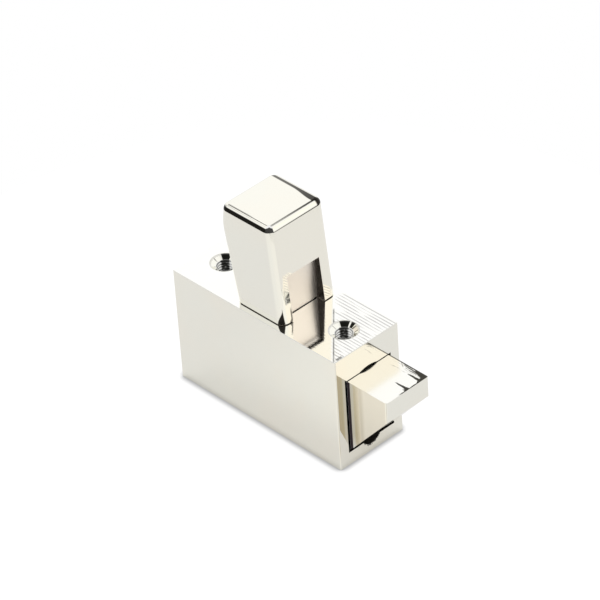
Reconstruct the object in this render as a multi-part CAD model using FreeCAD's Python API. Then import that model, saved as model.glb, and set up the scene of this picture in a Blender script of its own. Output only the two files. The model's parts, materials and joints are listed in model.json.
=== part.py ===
import FreeCAD, Part
import math
import os

# Latch lock for a cabinet door, in millimetres.
# The origin is the centre of the housing's bottom face, +X points along the bolt to its nose and +Z is up.
# The bolt is out and the locking pin is drawn in, so the thumb post is free to slide to the rear.

# Housing block
length = 60.0
width = 23.0
height = 35.0
upright_edge_radius = 0.5
flat_edge_chamfer = 0.15

# Pocket that the bolt slides in, open at the front face
side_wall = 3.2
pocket_floor = 4.0
pocket_roof = 7.9
rear_wall = 4.0

# Shallow grease grooves in the pocket's roof and floor, which show at the mouth
roof_groove_width = 6.4
roof_groove_depth = 0.6
roof_groove_offset = 0.2
floor_groove_width = 5.9
floor_groove_depth = 1.6
floor_groove_offset = 0.0
floor_groove_from_cover = 1.0

# Two tapped mounting holes in the top face
mount_hole_spacing = 44.0
mount_hole_from_mouth = 8.1
mount_thread_radius = 2.1
mount_thread_end = 5.9
mount_countersink_radius = 4.15
mount_countersink_angle = 120.0
drill_point_angle = 118.0

# Bolt: a nose in front, a full-size guide block behind the mouth and a tail above the solenoid
throw = 10.0
nose_reach = 14.0
nose_face_height = 6.2
nose_near_gap = 0.8
nose_far_gap = 0.3
nose_bottom_gap = 0.6
nose_corner_radius = 0.9
nose_far_edge_radius = 0.6
guide_gap = 0.2
guide_from_mouth = 6.0
guide_length = 14.0
tail_thickness = 9.2
stop_gap = 0.3

# Thumb post: raked to the rear, with a rear face that bends back in near the head
post_height = 29.3
post_width = 19.5
post_foot_length = 17.4
post_head_length = 17.8
post_front_rake = 2.8
post_bend_height = 22.9
post_bend_reach = 4.2
post_bend_radius = 15.0
post_from_mouth = 20.35
post_upright_radius = 2.3
post_top_radius = 1.65
thumb_recess_depth = 2.8
thumb_recess_width = 11.4
thumb_recess_height = 13.5
thumb_recess_offset = -0.3
thumb_recess_radius = 1.0

# Neck that joins the post to the bolt through the slot in the roof
neck_length = 3.8
neck_width = 10.0
neck_corner_radius = 1.0
neck_seat_depth = 1.0
slot_gap = 0.3

# Glide plate under the post's foot
glide_thickness = 0.2
glide_gap = 0.1
glide_inset = 0.35

# Screws up through the tail into the neck
post_screw_radius = 1.25
post_screw_spacing = 5.2
post_screw_bite = 5.5
post_screw_hole_spare = 0.3
post_screw_head_radius = 2.25
post_screw_head_height = 2.5
post_screw_head_sink = 0.5
hex_socket_across = 2.0
hex_socket_depth = 1.25

# Return springs on guide rods
spring_spacing = 9.8
spring_outer_radius = 2.3
spring_wire_radius = 0.22
spring_turns = 9
spring_bore_radius = 2.6
spring_bore_depth = 14.0
spring_end_gap = 0.05
rod_radius = 1.2
rod_bite = 2.5
rod_end_gap = 0.7
rod_tip_chamfer = 0.4
spring_plate_thickness = 1.0
bumper_thickness = 1.2
bumper_width = 3.6
bumper_edge_radius = 0.4
bumper_margin = 0.7
plate_margin = 0.7
plate_corner_radius = 0.7

# Locking solenoid, upright on the base cover
solenoid_from_rear_wall = 16.5
solenoid_top_gap = 2.5
solenoid_strip = 1.2
solenoid_width = 11.0
solenoid_bend_radius = 1.0
bobbin_flange_radius = 5.2
bobbin_flange_thickness = 0.7
bobbin_tube_radius = 3.2
bobbin_bore_radius = 2.65
bobbin_play = 0.1
solenoid_screw_inset = 1.7
coil_radius = 4.9
plunger_travel = 3.0
pin_radius = 1.5
pin_tip_radius = 0.4
pin_gap = 0.6
pin_bore_clearance = 0.2
notch_clearance = 0.3
notch_end_gap = 0.8
armature_radius = 2.5
armature_share = 0.6
armature_rest_gap = 0.3
squeezed_spring_length = 2.3
plunger_wire_radius = 0.2
plunger_spring_turns = 4
stations_per_turn = 10
wire_sides = 5
fit_clearance = 0.05

# Circuit board upright beside the solenoid
board_length = 23.0
board_thickness = 0.8
board_standoff = 0.6
board_edge_gap = 0.5
board_corner_radius = 0.5
board_top_gap = 0.9
board_screw_radius = 0.8
board_screw_head_radius = 1.5
board_screw_head_height = 0.7
board_screw_head_chamfer = 0.2
board_slot_depth = 0.35
board_screw_bite = 2.0
board_screw_inset = 2.0
board_boss_radius = 1.7
chip_width = 1.9
chip_height = 2.9
chip_thickness = 1.0
part_edge_margin = 0.5
part_gap = 0.3
capacitor_radius = 1.6
capacitor_length = 5.0
capacitor_rim = 0.3
terminal_length = 5.0
terminal_depth = 4.4
terminal_height = 4.0
terminal_side_gap = 0.2
terminal_wire_radius = 0.7
terminal_wire_spacing = 2.5
terminal_wire_depth = 2.2
sensor_length = 3.0
sensor_height = 1.6
magnet_radius = 1.5
magnet_thickness = 1.5
magnet_from_tail_end = 2.3
magnet_side_margin = 0.3

# Wire inlet with a rubber ring in the rear wall
inlet_side = -3.5
inlet_above_floor = 5.2
inlet_radius = 2.2
inlet_bore_radius = 1.3
inlet_flange_radius = 3.0
inlet_flange_thickness = 0.8
inlet_flange_clearance = 0.2

# Cover plate sunk flush into the bottom face
cover_thickness = 2.0
cover_clearance = 0.15
cover_end_ledge = 4.0
cover_side_ledge = 1.7
cover_screw_inset = 2.8
cover_corner_radius = 1.5
opening_from_rear_wall = 2.0
opening_side_margin = 0.5
small_screw_radius = 1.0
small_screw_head_radius = 1.9
small_screw_length = 3.4
small_screw_hole_spare = 0.3
drive_slot_width = 0.5
drive_slot_depth = 0.5

# How far a cut runs past the face that it opens, and how near two places count as the same
overcut = 1.0
same_place = 0.01
parallel_share = 0.999

# Places that follow from the sizes above
rear_x = -length / 2
mouth_x = length / 2
pocket_half = width / 2 - side_wall
pocket_rear = rear_x + rear_wall
pocket_top = height - pocket_roof
guide_front = mouth_x - guide_from_mouth
guide_rear = guide_front - guide_length
guide_half = pocket_half - guide_gap
guide_top = pocket_top - guide_gap
guide_bottom = pocket_floor + guide_gap
nose_x = mouth_x + nose_reach
nose_near_y = -pocket_half + nose_near_gap
nose_far_y = pocket_half - nose_far_gap
nose_top = guide_top
nose_bottom = pocket_floor + nose_bottom_gap
tail_bottom = guide_top - tail_thickness
plate_front = pocket_rear + spring_plate_thickness
bumper_front = plate_front + bumper_thickness
tail_rear = bumper_front + stop_gap + throw
post_front = mouth_x - post_from_mouth
post_rear = post_front - post_foot_length
foot_bottom = height + glide_gap + glide_thickness
post_top = height + post_height
neck_front = post_front - thumb_recess_depth
neck_rear = neck_front - neck_length
neck_centre = (neck_front + neck_rear) / 2
neck_bottom = guide_top - neck_seat_depth
spring_z = tail_bottom + tail_thickness / 2
spring_bore_end = tail_rear + spring_bore_depth
solenoid_x = pocket_rear + solenoid_from_rear_wall
frame_bottom = cover_thickness
frame_top = tail_bottom - solenoid_top_gap
winding_bottom = frame_bottom + solenoid_strip
winding_top = frame_top - solenoid_strip
frame_rear = solenoid_x - bobbin_flange_radius - bobbin_play - solenoid_strip
frame_front = solenoid_x + bobbin_flange_radius + bobbin_play
pin_tip = tail_bottom - pin_gap
armature_bottom = winding_bottom + armature_rest_gap
core_and_armature = frame_top - armature_bottom - plunger_travel - squeezed_spring_length
armature_top = armature_bottom + armature_share * core_and_armature
core_bottom = armature_top + plunger_travel + squeezed_spring_length
notch_radius = pin_radius + notch_clearance
notch_depth = plunger_travel - pin_gap + notch_end_gap
board_outer = pocket_half - board_standoff
board_inner = board_outer - board_thickness
board_rear = pocket_rear + board_edge_gap
board_front = board_rear + board_length
board_bottom = pocket_floor + board_edge_gap
board_top = tail_bottom - board_top_gap
board_screw_z = board_bottom + board_screw_inset
magnet_x = tail_rear + magnet_from_tail_end
magnet_y = guide_half - magnet_side_margin - magnet_radius
opening_rear = pocket_rear + opening_from_rear_wall
opening_front = guide_rear
opening_half = pocket_half - opening_side_margin
cover_rear = opening_rear - cover_end_ledge
cover_front = opening_front + cover_end_ledge
cover_half = opening_half + cover_side_ledge
cover_screw_places = [
    (x, side * (cover_half - cover_screw_inset))
    for x in (cover_rear + cover_end_ledge / 2, cover_front - cover_end_ledge / 2)
    for side in (-1, 1)
]
solenoid_screw_places = [(solenoid_x, side * (solenoid_width / 2 - solenoid_screw_inset)) for side in (-1, 1)]
terminal_front = frame_rear - terminal_side_gap
terminal_rear = terminal_front - terminal_length
sensor_middle = magnet_x - throw
inlet_z = pocket_floor + inlet_above_floor

ALONG_X = FreeCAD.Vector(1, 0, 0)
ALONG_Y = FreeCAD.Vector(0, 1, 0)
ALONG_Z = FreeCAD.Vector(0, 0, 1)


def block(x_from, x_to, y_from, y_to, z_from, z_to):
    corner = FreeCAD.Vector(x_from, y_from, z_from)
    return Part.makeBox(x_to - x_from, y_to - y_from, z_to - z_from, corner)


def rod(radius, start, direction, reach):
    return Part.makeCylinder(radius, reach, FreeCAD.Vector(*start), direction)


def tube(outer, inner, start, direction, reach):
    return rod(outer, start, direction, reach).cut(rod(inner, start, direction, reach))


def cone(radius_from, radius_to, start, direction, reach):
    return Part.makeCone(radius_from, radius_to, reach, FreeCAD.Vector(*start), direction)


def outline(points):
    corners = [FreeCAD.Vector(*point) for point in points]
    return Part.makePolygon(corners + corners[:1])


def prism(points, direction, reach):
    return Part.Face(outline(points)).extrude(direction * reach)


def edges_where(shape, test):
    return [edge for edge in shape.Edges if test(edge)]


def lies_along(edge, direction):
    ends = [vertex.Point for vertex in edge.Vertexes]
    if len(ends) != 2:
        return False
    span = ends[1] - ends[0]
    return abs(span.dot(direction)) > parallel_share * span.Length


def rounded_block(x_from, x_to, y_from, y_to, z_from, z_to, radius):
    solid = block(x_from, x_to, y_from, y_to, z_from, z_to)
    return solid.makeFillet(radius, edges_where(solid, lambda edge: lies_along(edge, ALONG_Z)))


def groove(chord, rise, start_x, centre_y, surface_z, side):
    # A shallow round groove along X: side is +1 where it is cut up into a roof and -1 down into a floor.
    radius = chord ** 2 / (8 * rise) + rise / 2
    axis_z = surface_z + side * (rise - radius)
    low, high = sorted((surface_z - side * overcut, surface_z + side * (rise + overcut)))
    span = block(start_x, start_x + length, centre_y - chord / 2, centre_y + chord / 2, low, high)
    return rod(radius, (start_x, centre_y, axis_z), ALONG_X, length).common(span)


def tapped_mount_hole(x):
    point_height = mount_thread_radius / math.tan(math.radians(drill_point_angle / 2))
    hole = rod(mount_thread_radius, (x, 0, height - mount_thread_end), ALONG_Z, mount_thread_end)
    drill_point = cone(mount_thread_radius, 0, (x, 0, height - mount_thread_end), -ALONG_Z, point_height)
    sink_slope = math.tan(math.radians(mount_countersink_angle / 2))
    sink_depth = (mount_countersink_radius - mount_thread_radius) / sink_slope
    sink = cone(mount_countersink_radius, mount_thread_radius, (x, 0, height), -ALONG_Z, sink_depth)
    return hole.fuse([drill_point, sink])


def mount_hole_places():
    front = mouth_x - mount_hole_from_mouth
    return [front, front - mount_hole_spacing]


def wire_section(angle, middle_radius, wire_radius, rise):
    # One facetted slice of the wire, upright in the plane through the spring's axis.
    corners = []
    for side in range(wire_sides):
        tilt = 2 * math.pi * side / wire_sides
        reach = middle_radius + wire_radius * math.cos(tilt)
        height_there = rise + wire_radius * math.sin(tilt)
        corners.append((reach * math.cos(angle), reach * math.sin(angle), height_there))
    return outline(corners)


def helical_spring(outer_radius, wire_radius, start, reach, turns, direction):
    middle_radius = outer_radius - wire_radius
    stations = turns * stations_per_turn
    climb = (reach - 2 * wire_radius) / stations
    sections = [
        wire_section(2 * math.pi * station / stations_per_turn, middle_radius, wire_radius,
                     wire_radius + climb * station)
        for station in range(stations + 1)
    ]
    spring = Part.makeLoft(sections, True, True)
    spring.Placement = FreeCAD.Placement(FreeCAD.Vector(*start), FreeCAD.Rotation(ALONG_Z, direction))
    return spring


def countersunk_screw(x, y, tip_z):
    # The head is flush with the bottom face and the shank points up.
    sink_depth = small_screw_head_radius - small_screw_radius
    head = cone(small_screw_head_radius, small_screw_radius, (x, y, 0), ALONG_Z, sink_depth)
    shank = rod(small_screw_radius, (x, y, 0), ALONG_Z, tip_z)
    slot = block(
        x - small_screw_head_radius, x + small_screw_head_radius,
        y - drive_slot_width / 2, y + drive_slot_width / 2, 0, drive_slot_depth,
    )
    return head.fuse(shank).removeSplitter().cut(slot)


def countersunk_hole(x, y, end_z):
    sink_radius = small_screw_head_radius + fit_clearance
    hole_radius = small_screw_radius + fit_clearance
    sink = cone(sink_radius, hole_radius, (x, y, 0), ALONG_Z, sink_radius - hole_radius)
    return sink.fuse(rod(hole_radius, (x, y, 0), ALONG_Z, end_z))


def make_housing():
    body = rounded_block(rear_x, mouth_x, -width / 2, width / 2, 0, height, upright_edge_radius)
    rims = edges_where(body, lambda edge: edge.BoundBox.ZLength < same_place)
    body = body.makeChamfer(flat_edge_chamfer, rims)
    pocket = block(pocket_rear, mouth_x + overcut, -pocket_half, pocket_half, pocket_floor, pocket_top)
    roof_groove = groove(
        roof_groove_width, roof_groove_depth, pocket_rear, roof_groove_offset, pocket_top, 1
    )
    floor_groove = groove(
        floor_groove_width, floor_groove_depth, cover_front + floor_groove_from_cover, floor_groove_offset,
        pocket_floor, -1,
    )
    slot = rounded_block(
        neck_rear - throw - slot_gap, neck_front + slot_gap,
        -neck_width / 2 - slot_gap, neck_width / 2 + slot_gap,
        pocket_top - overcut, height + overcut, neck_corner_radius,
    )
    opening = block(
        opening_rear, opening_front, -opening_half, opening_half, -overcut, pocket_floor + overcut
    )
    rebate = rounded_block(
        cover_rear, cover_front, -cover_half, cover_half, -overcut, cover_thickness, cover_corner_radius
    )
    cuts = [pocket, roof_groove, floor_groove, slot, opening, rebate]
    cuts += [tapped_mount_hole(x) for x in mount_hole_places()]
    cover_hole_reach = small_screw_length + small_screw_hole_spare
    cuts += [
        rod(small_screw_radius + fit_clearance, (x, y, 0), ALONG_Z, cover_hole_reach)
        for x, y in cover_screw_places
    ]
    cuts += [
        rod(rod_radius + fit_clearance, (pocket_rear, y, spring_z), -ALONG_X, rod_bite)
        for y in spring_sides()
    ]
    inlet = (rear_x, inlet_side, inlet_z)
    cuts.append(rod(inlet_radius + fit_clearance, inlet, ALONG_X, rear_wall))
    cuts.append(rod(inlet_flange_radius + inlet_flange_clearance, inlet, ALONG_X, inlet_flange_thickness))
    bosses = [
        rod(board_boss_radius, (x, board_outer, board_screw_z), ALONG_Y, board_standoff + fit_clearance)
        for x in board_screw_places()
    ]
    body = body.cut(cuts).fuse(bosses)
    hole_reach = board_screw_bite + small_screw_hole_spare
    board_holes = [
        rod(board_screw_radius + fit_clearance, (x, board_outer, board_screw_z), ALONG_Y, hole_reach)
        for x in board_screw_places()
    ]
    return body.cut(board_holes).removeSplitter()


def make_nose():
    # Flat top, short upright face and a long slant underneath that rides up on the strike.
    face_bottom = nose_top - nose_face_height
    side_view = [
        (guide_front, nose_near_y, nose_bottom),
        (mouth_x, nose_near_y, nose_bottom),
        (nose_x, nose_near_y, face_bottom),
        (nose_x, nose_near_y, nose_top),
        (guide_front, nose_near_y, nose_top),
    ]
    nose = prism(side_view, ALONG_Y, nose_far_y - nose_near_y)
    far_top_edge = edges_where(
        nose,
        lambda edge: lies_along(edge, ALONG_X)
        and edge.CenterOfMass.y > nose_far_y - same_place
        and edge.CenterOfMass.z > nose_top - same_place,
    )
    nose = nose.makeFillet(nose_far_edge_radius, far_top_edge)
    plan = rounded_block(
        guide_front - nose_corner_radius, nose_x, nose_near_y, nose_far_y, 0, height, nose_corner_radius
    )
    return nose.common(plan)


def make_bolt():
    guide = block(guide_rear, guide_front, -guide_half, guide_half, guide_bottom, guide_top)
    tail = block(tail_rear, guide_rear, -guide_half, guide_half, tail_bottom, guide_top)
    bolt = make_nose().fuse([guide, tail]).removeSplitter()
    seat = rounded_block(
        neck_rear - fit_clearance, neck_front + fit_clearance,
        -neck_width / 2 - fit_clearance, neck_width / 2 + fit_clearance,
        neck_bottom, guide_top + overcut, neck_corner_radius,
    )
    cuts = [seat]
    head_hole_depth = post_screw_head_height + post_screw_head_sink
    for y in post_screw_sides():
        start = (neck_centre, y, tail_bottom)
        cuts.append(rod(post_screw_radius + fit_clearance, start, ALONG_Z, tail_thickness))
        cuts.append(rod(post_screw_head_radius + fit_clearance, start, ALONG_Z, head_hole_depth))
    cuts += [
        rod(spring_bore_radius, (tail_rear, y, spring_z), ALONG_X, spring_bore_depth) for y in spring_sides()
    ]
    cuts += [
        rod(notch_radius, (x, 0, tail_bottom), ALONG_Z, notch_depth)
        for x in (solenoid_x, solenoid_x + throw)
    ]
    magnet_seat = (magnet_x, magnet_y, tail_bottom)
    cuts.append(rod(magnet_radius + fit_clearance, magnet_seat, ALONG_Z, magnet_thickness))
    return bolt.cut(cuts)


def make_post():
    # The side view, from the foot's rear edge round the foot, up the front and over the head.
    head_front = post_front - post_front_rake
    bend_x = post_rear - post_bend_reach
    bend_z = height + post_bend_height
    side_view = [
        (post_rear, -post_width / 2, foot_bottom),
        (post_front, -post_width / 2, foot_bottom),
        (head_front, -post_width / 2, post_top),
        (head_front - post_head_length, -post_width / 2, post_top),
        (bend_x, -post_width / 2, bend_z),
    ]
    post = prism(side_view, ALONG_Y, post_width)
    bend = edges_where(post, lambda edge: edge.BoundBox.XMax < bend_x + same_place)
    post = post.makeFillet(post_bend_radius, bend)
    uprights = edges_where(
        post, lambda edge: edge.BoundBox.YLength < same_place and edge.BoundBox.ZLength > post_top_radius
    )
    post = post.makeFillet(post_upright_radius, uprights)
    top_edges = edges_where(post, lambda edge: edge.BoundBox.ZMin > post_top - same_place)
    post = post.makeFillet(post_top_radius, top_edges)
    neck = rounded_block(
        neck_rear, neck_front, -neck_width / 2, neck_width / 2, neck_bottom, foot_bottom, neck_corner_radius
    )
    post = post.fuse(neck).cut(thumb_recess())
    hole_reach = post_screw_bite + post_screw_hole_spare
    screw_holes = [
        rod(post_screw_radius + fit_clearance, (neck_centre, y, neck_bottom), ALONG_Z, hole_reach)
        for y in post_screw_sides()
    ]
    return post.cut(screw_holes)


def thumb_recess():
    # Cut from the bolt's side, with the back wall upright and a small round where it meets the top.
    recess = block(
        neck_front, post_front + thumb_recess_depth,
        thumb_recess_offset - thumb_recess_width / 2, thumb_recess_offset + thumb_recess_width / 2,
        height - overcut, height + thumb_recess_height,
    )
    top_back = edges_where(
        recess,
        lambda edge: lies_along(edge, ALONG_Y)
        and edge.CenterOfMass.x < neck_front + same_place
        and edge.CenterOfMass.z > height,
    )
    recess = recess.makeFillet(thumb_recess_radius, top_back)
    below_foot = block(neck_rear, mouth_x, -width, width, 0, foot_bottom)
    return recess.cut(below_foot)


def make_foot_glide():
    bottom = height + glide_gap
    glide = rounded_block(
        post_rear + glide_inset, post_front - glide_inset,
        -post_width / 2 + glide_inset, post_width / 2 - glide_inset,
        bottom, foot_bottom, post_upright_radius,
    )
    recess = block(
        neck_front, post_front + overcut,
        thumb_recess_offset - thumb_recess_width / 2, thumb_recess_offset + thumb_recess_width / 2,
        bottom, foot_bottom,
    )
    neck_hole = rounded_block(
        neck_rear - fit_clearance, neck_front + overcut,
        -neck_width / 2 - fit_clearance, neck_width / 2 + fit_clearance,
        bottom, foot_bottom, neck_corner_radius,
    )
    return glide.cut([recess, neck_hole])


def post_screw_sides():
    return (-post_screw_spacing / 2, post_screw_spacing / 2)


def make_post_screws():
    head_bottom = tail_bottom + post_screw_head_sink
    head_top = head_bottom + post_screw_head_height
    hex_sides = 6
    screws = []
    for y in post_screw_sides():
        head = rod(post_screw_head_radius, (neck_centre, y, head_bottom), ALONG_Z, post_screw_head_height)
        shank_reach = neck_bottom + post_screw_bite - head_top
        shank = rod(post_screw_radius, (neck_centre, y, head_top), ALONG_Z, shank_reach)
        corner_radius = hex_socket_across / math.sqrt(3)
        corners = [
            (
                neck_centre + corner_radius * math.cos(2 * math.pi * side / hex_sides),
                y + corner_radius * math.sin(2 * math.pi * side / hex_sides),
                head_bottom,
            )
            for side in range(hex_sides)
        ]
        socket = prism(corners, ALONG_Z, hex_socket_depth)
        screws.append(head.fuse(shank).cut(socket))
    return Part.makeCompound(screws)


def spring_sides():
    return (-spring_spacing / 2, spring_spacing / 2)


def make_return_springs():
    start_x = plate_front + spring_end_gap
    reach = spring_bore_end - spring_end_gap - start_x
    return Part.makeCompound([
        helical_spring(
            spring_outer_radius, spring_wire_radius, (start_x, y, spring_z), reach, spring_turns, ALONG_X
        )
        for y in spring_sides()
    ])


def make_guide_rods():
    start_x = pocket_rear - rod_bite + fit_clearance
    end_x = spring_bore_end - throw - rod_end_gap
    rods = []
    for y in spring_sides():
        shank = rod(rod_radius, (start_x, y, spring_z), ALONG_X, end_x - start_x)
        tip = edges_where(shank, lambda edge: edge.BoundBox.XMin > end_x - same_place)
        rods.append(shank.makeChamfer(rod_tip_chamfer, tip))
    return Part.makeCompound(rods)


def make_spring_plate():
    plate = block(
        pocket_rear, plate_front, -pocket_half + plate_margin, pocket_half - plate_margin,
        tail_bottom, guide_top - plate_margin,
    )
    upright = edges_where(plate, lambda edge: lies_along(edge, ALONG_X))
    plate = plate.makeFillet(plate_corner_radius, upright)
    holes = [
        rod(rod_radius + fit_clearance, (pocket_rear, y, spring_z), ALONG_X, spring_plate_thickness)
        for y in spring_sides()
    ]
    return plate.cut(holes)


def make_bumper():
    pad = block(
        plate_front, bumper_front, -bumper_width / 2, bumper_width / 2,
        tail_bottom + bumper_margin, guide_top - plate_margin - bumper_margin,
    )
    face = edges_where(pad, lambda edge: edge.BoundBox.XMin > bumper_front - same_place)
    return pad.makeFillet(bumper_edge_radius, face)


def make_solenoid_frame():
    # A steel strip bent into a C that stands open to the front.
    outer = block(
        frame_rear, frame_front, -solenoid_width / 2, solenoid_width / 2, frame_bottom, frame_top
    )
    inner = block(
        frame_rear + solenoid_strip, frame_front + overcut, -solenoid_width, solenoid_width,
        winding_bottom, winding_top,
    )
    rear_bends = edges_where(
        outer, lambda edge: lies_along(edge, ALONG_Y) and edge.CenterOfMass.x < frame_rear + same_place
    )
    strip = outer.makeFillet(solenoid_bend_radius, rear_bends).cut(inner)
    core_hole = rod(bobbin_bore_radius, (solenoid_x, 0, winding_top), ALONG_Z, solenoid_strip)
    screw_holes = [
        rod(small_screw_radius + fit_clearance, (x, y, frame_bottom), ALONG_Z, solenoid_strip)
        for x, y in solenoid_screw_places
    ]
    return strip.cut([core_hole] + screw_holes)


def make_solenoid_bobbin():
    reach = winding_top - bobbin_play - winding_bottom
    start = (solenoid_x, 0, winding_bottom)
    upper_start = (solenoid_x, 0, winding_bottom + reach - bobbin_flange_thickness)
    barrel = rod(bobbin_tube_radius, start, ALONG_Z, reach)
    lower = rod(bobbin_flange_radius, start, ALONG_Z, bobbin_flange_thickness)
    upper = rod(bobbin_flange_radius, upper_start, ALONG_Z, bobbin_flange_thickness)
    bore = rod(bobbin_bore_radius, start, ALONG_Z, reach)
    return barrel.fuse([lower, upper]).cut(bore).removeSplitter()


def make_solenoid_coil():
    bottom = winding_bottom + bobbin_flange_thickness + fit_clearance
    top = winding_top - bobbin_play - bobbin_flange_thickness - fit_clearance
    start = (solenoid_x, 0, bottom)
    return tube(coil_radius, bobbin_tube_radius + fit_clearance, start, ALONG_Z, top - bottom)


def make_solenoid_core():
    return tube(
        bobbin_bore_radius - fit_clearance, pin_radius + pin_bore_clearance,
        (solenoid_x, 0, core_bottom), ALONG_Z, frame_top - core_bottom,
    )


def make_plunger():
    armature = rod(armature_radius, (solenoid_x, 0, armature_bottom), ALONG_Z, armature_top - armature_bottom)
    pin = rod(pin_radius, (solenoid_x, 0, armature_top), ALONG_Z, pin_tip - armature_top)
    tip = edges_where(pin, lambda edge: edge.BoundBox.ZMin > pin_tip - same_place)
    return armature.fuse(pin.makeChamfer(pin_tip_radius, tip))


def make_plunger_spring():
    reach = core_bottom - armature_top - 2 * spring_end_gap
    return helical_spring(
        armature_radius - fit_clearance, plunger_wire_radius,
        (solenoid_x, 0, armature_top + spring_end_gap), reach, plunger_spring_turns, ALONG_Z,
    )


def make_solenoid_screws():
    tip_z = winding_bottom - fit_clearance
    return Part.makeCompound([countersunk_screw(x, y, tip_z) for x, y in solenoid_screw_places])


def make_magnet():
    return rod(magnet_radius, (magnet_x, magnet_y, tail_bottom), ALONG_Z, magnet_thickness - fit_clearance)


def board_screw_places():
    return (board_rear + board_screw_inset, board_front - board_screw_inset)


def make_circuit_board():
    board = block(board_rear, board_front, board_inner, board_outer, board_bottom, board_top)
    corners = edges_where(board, lambda edge: lies_along(edge, ALONG_Y))
    board = board.makeFillet(board_corner_radius, corners)
    holes = [
        rod(board_screw_radius + fit_clearance, (x, board_inner, board_screw_z), ALONG_Y, board_thickness)
        for x in board_screw_places()
    ]
    return board.cut(holes)


def make_board_screws():
    screws = []
    for x in board_screw_places():
        head_y = board_inner - board_screw_head_height
        head = rod(board_screw_head_radius, (x, head_y, board_screw_z), ALONG_Y, board_screw_head_height)
        rim = edges_where(head, lambda edge: edge.BoundBox.YMax < head_y + same_place)
        head = head.makeChamfer(board_screw_head_chamfer, rim)
        shank_reach = board_thickness + board_screw_bite
        shank = rod(board_screw_radius, (x, board_inner, board_screw_z), ALONG_Y, shank_reach)
        slot = block(
            x - board_screw_head_radius, x + board_screw_head_radius,
            head_y - overcut, head_y + board_slot_depth,
            board_screw_z - drive_slot_width / 2, board_screw_z + drive_slot_width / 2,
        )
        screws.append(head.fuse(shank).cut(slot))
    return Part.makeCompound(screws)


def make_hall_sensor():
    # Under the magnet's place when the bolt is drawn back.
    return block(
        sensor_middle - sensor_length / 2, sensor_middle + sensor_length / 2,
        board_inner - chip_thickness, board_inner,
        board_top - part_edge_margin - sensor_height, board_top - part_edge_margin,
    )


def make_driver_chip():
    # Above the head of the rear board screw.
    chip_rear = board_rear + part_edge_margin
    chip_bottom = board_screw_z + board_screw_head_radius + part_gap
    return block(
        chip_rear, chip_rear + chip_width, board_inner - chip_thickness, board_inner,
        chip_bottom, chip_bottom + chip_height,
    )


def make_capacitor():
    # Above the wire terminal, behind the solenoid's frame.
    centre_x = terminal_front - capacitor_radius
    centre_z = board_bottom + terminal_height + part_gap + capacitor_radius
    can_end = board_inner - capacitor_length
    can = rod(capacitor_radius, (centre_x, can_end, centre_z), ALONG_Y, capacitor_length)
    rim = edges_where(can, lambda edge: edge.BoundBox.YMax < can_end + same_place)
    return can.makeChamfer(capacitor_rim, rim)


def make_wire_terminal():
    face_y = board_inner - terminal_depth
    terminal = block(
        terminal_rear, terminal_front, face_y, board_inner, board_bottom, board_bottom + terminal_height
    )
    middle_x = (terminal_rear + terminal_front) / 2
    middle_z = board_bottom + terminal_height / 2
    wire_holes = [
        rod(terminal_wire_radius, (middle_x + side * terminal_wire_spacing / 2, face_y, middle_z), ALONG_Y,
            terminal_wire_depth)
        for side in (-1, 1)
    ]
    return terminal.cut(wire_holes)


def make_wire_grommet():
    start = (rear_x, inlet_side, inlet_z)
    inner_face = (pocket_rear, inlet_side, inlet_z)
    body = rod(inlet_radius, start, ALONG_X, rear_wall)
    outer_flange = rod(inlet_flange_radius, start, ALONG_X, inlet_flange_thickness)
    inner_flange = rod(inlet_flange_radius, inner_face, ALONG_X, inlet_flange_thickness)
    bore = rod(inlet_bore_radius, start, ALONG_X, rear_wall + inlet_flange_thickness)
    return body.fuse([outer_flange, inner_flange]).cut(bore).removeSplitter()


def make_base_cover():
    cover = rounded_block(
        cover_rear + cover_clearance, cover_front - cover_clearance,
        -cover_half + cover_clearance, cover_half - cover_clearance,
        0, cover_thickness, cover_corner_radius,
    )
    holes = [countersunk_hole(x, y, cover_thickness) for x, y in cover_screw_places + solenoid_screw_places]
    return cover.cut(holes)


def make_cover_screws():
    return Part.makeCompound([countersunk_screw(x, y, small_screw_length) for x, y in cover_screw_places])


nodes = {
    "housing": make_housing,
    "bolt": make_bolt,
    "post": make_post,
    "foot_glide": make_foot_glide,
    "post_screws": make_post_screws,
    "return_springs": make_return_springs,
    "guide_rods": make_guide_rods,
    "spring_plate": make_spring_plate,
    "bumper": make_bumper,
    "solenoid_frame": make_solenoid_frame,
    "solenoid_bobbin": make_solenoid_bobbin,
    "solenoid_coil": make_solenoid_coil,
    "solenoid_core": make_solenoid_core,
    "plunger": make_plunger,
    "plunger_spring": make_plunger_spring,
    "solenoid_screws": make_solenoid_screws,
    "magnet": make_magnet,
    "circuit_board": make_circuit_board,
    "board_screws": make_board_screws,
    "hall_sensor": make_hall_sensor,
    "capacitor": make_capacitor,
    "driver_chip": make_driver_chip,
    "wire_terminal": make_wire_terminal,
    "wire_grommet": make_wire_grommet,
    "base_cover": make_base_cover,
    "cover_screws": make_cover_screws,
}

os.makedirs("parts", exist_ok=True)
for node, make in nodes.items():
    shape = make()
    if not shape.isValid() or shape.Volume <= 0:
        raise ValueError(node + " is not a sound solid")
    shape.exportStep("parts/" + node + ".step")
    print(node, len(shape.Solids), "solid(s)", round(shape.Volume, 1), "mm3")
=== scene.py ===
import json
import math

import bpy
from mathutils import Matrix, Vector


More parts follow.
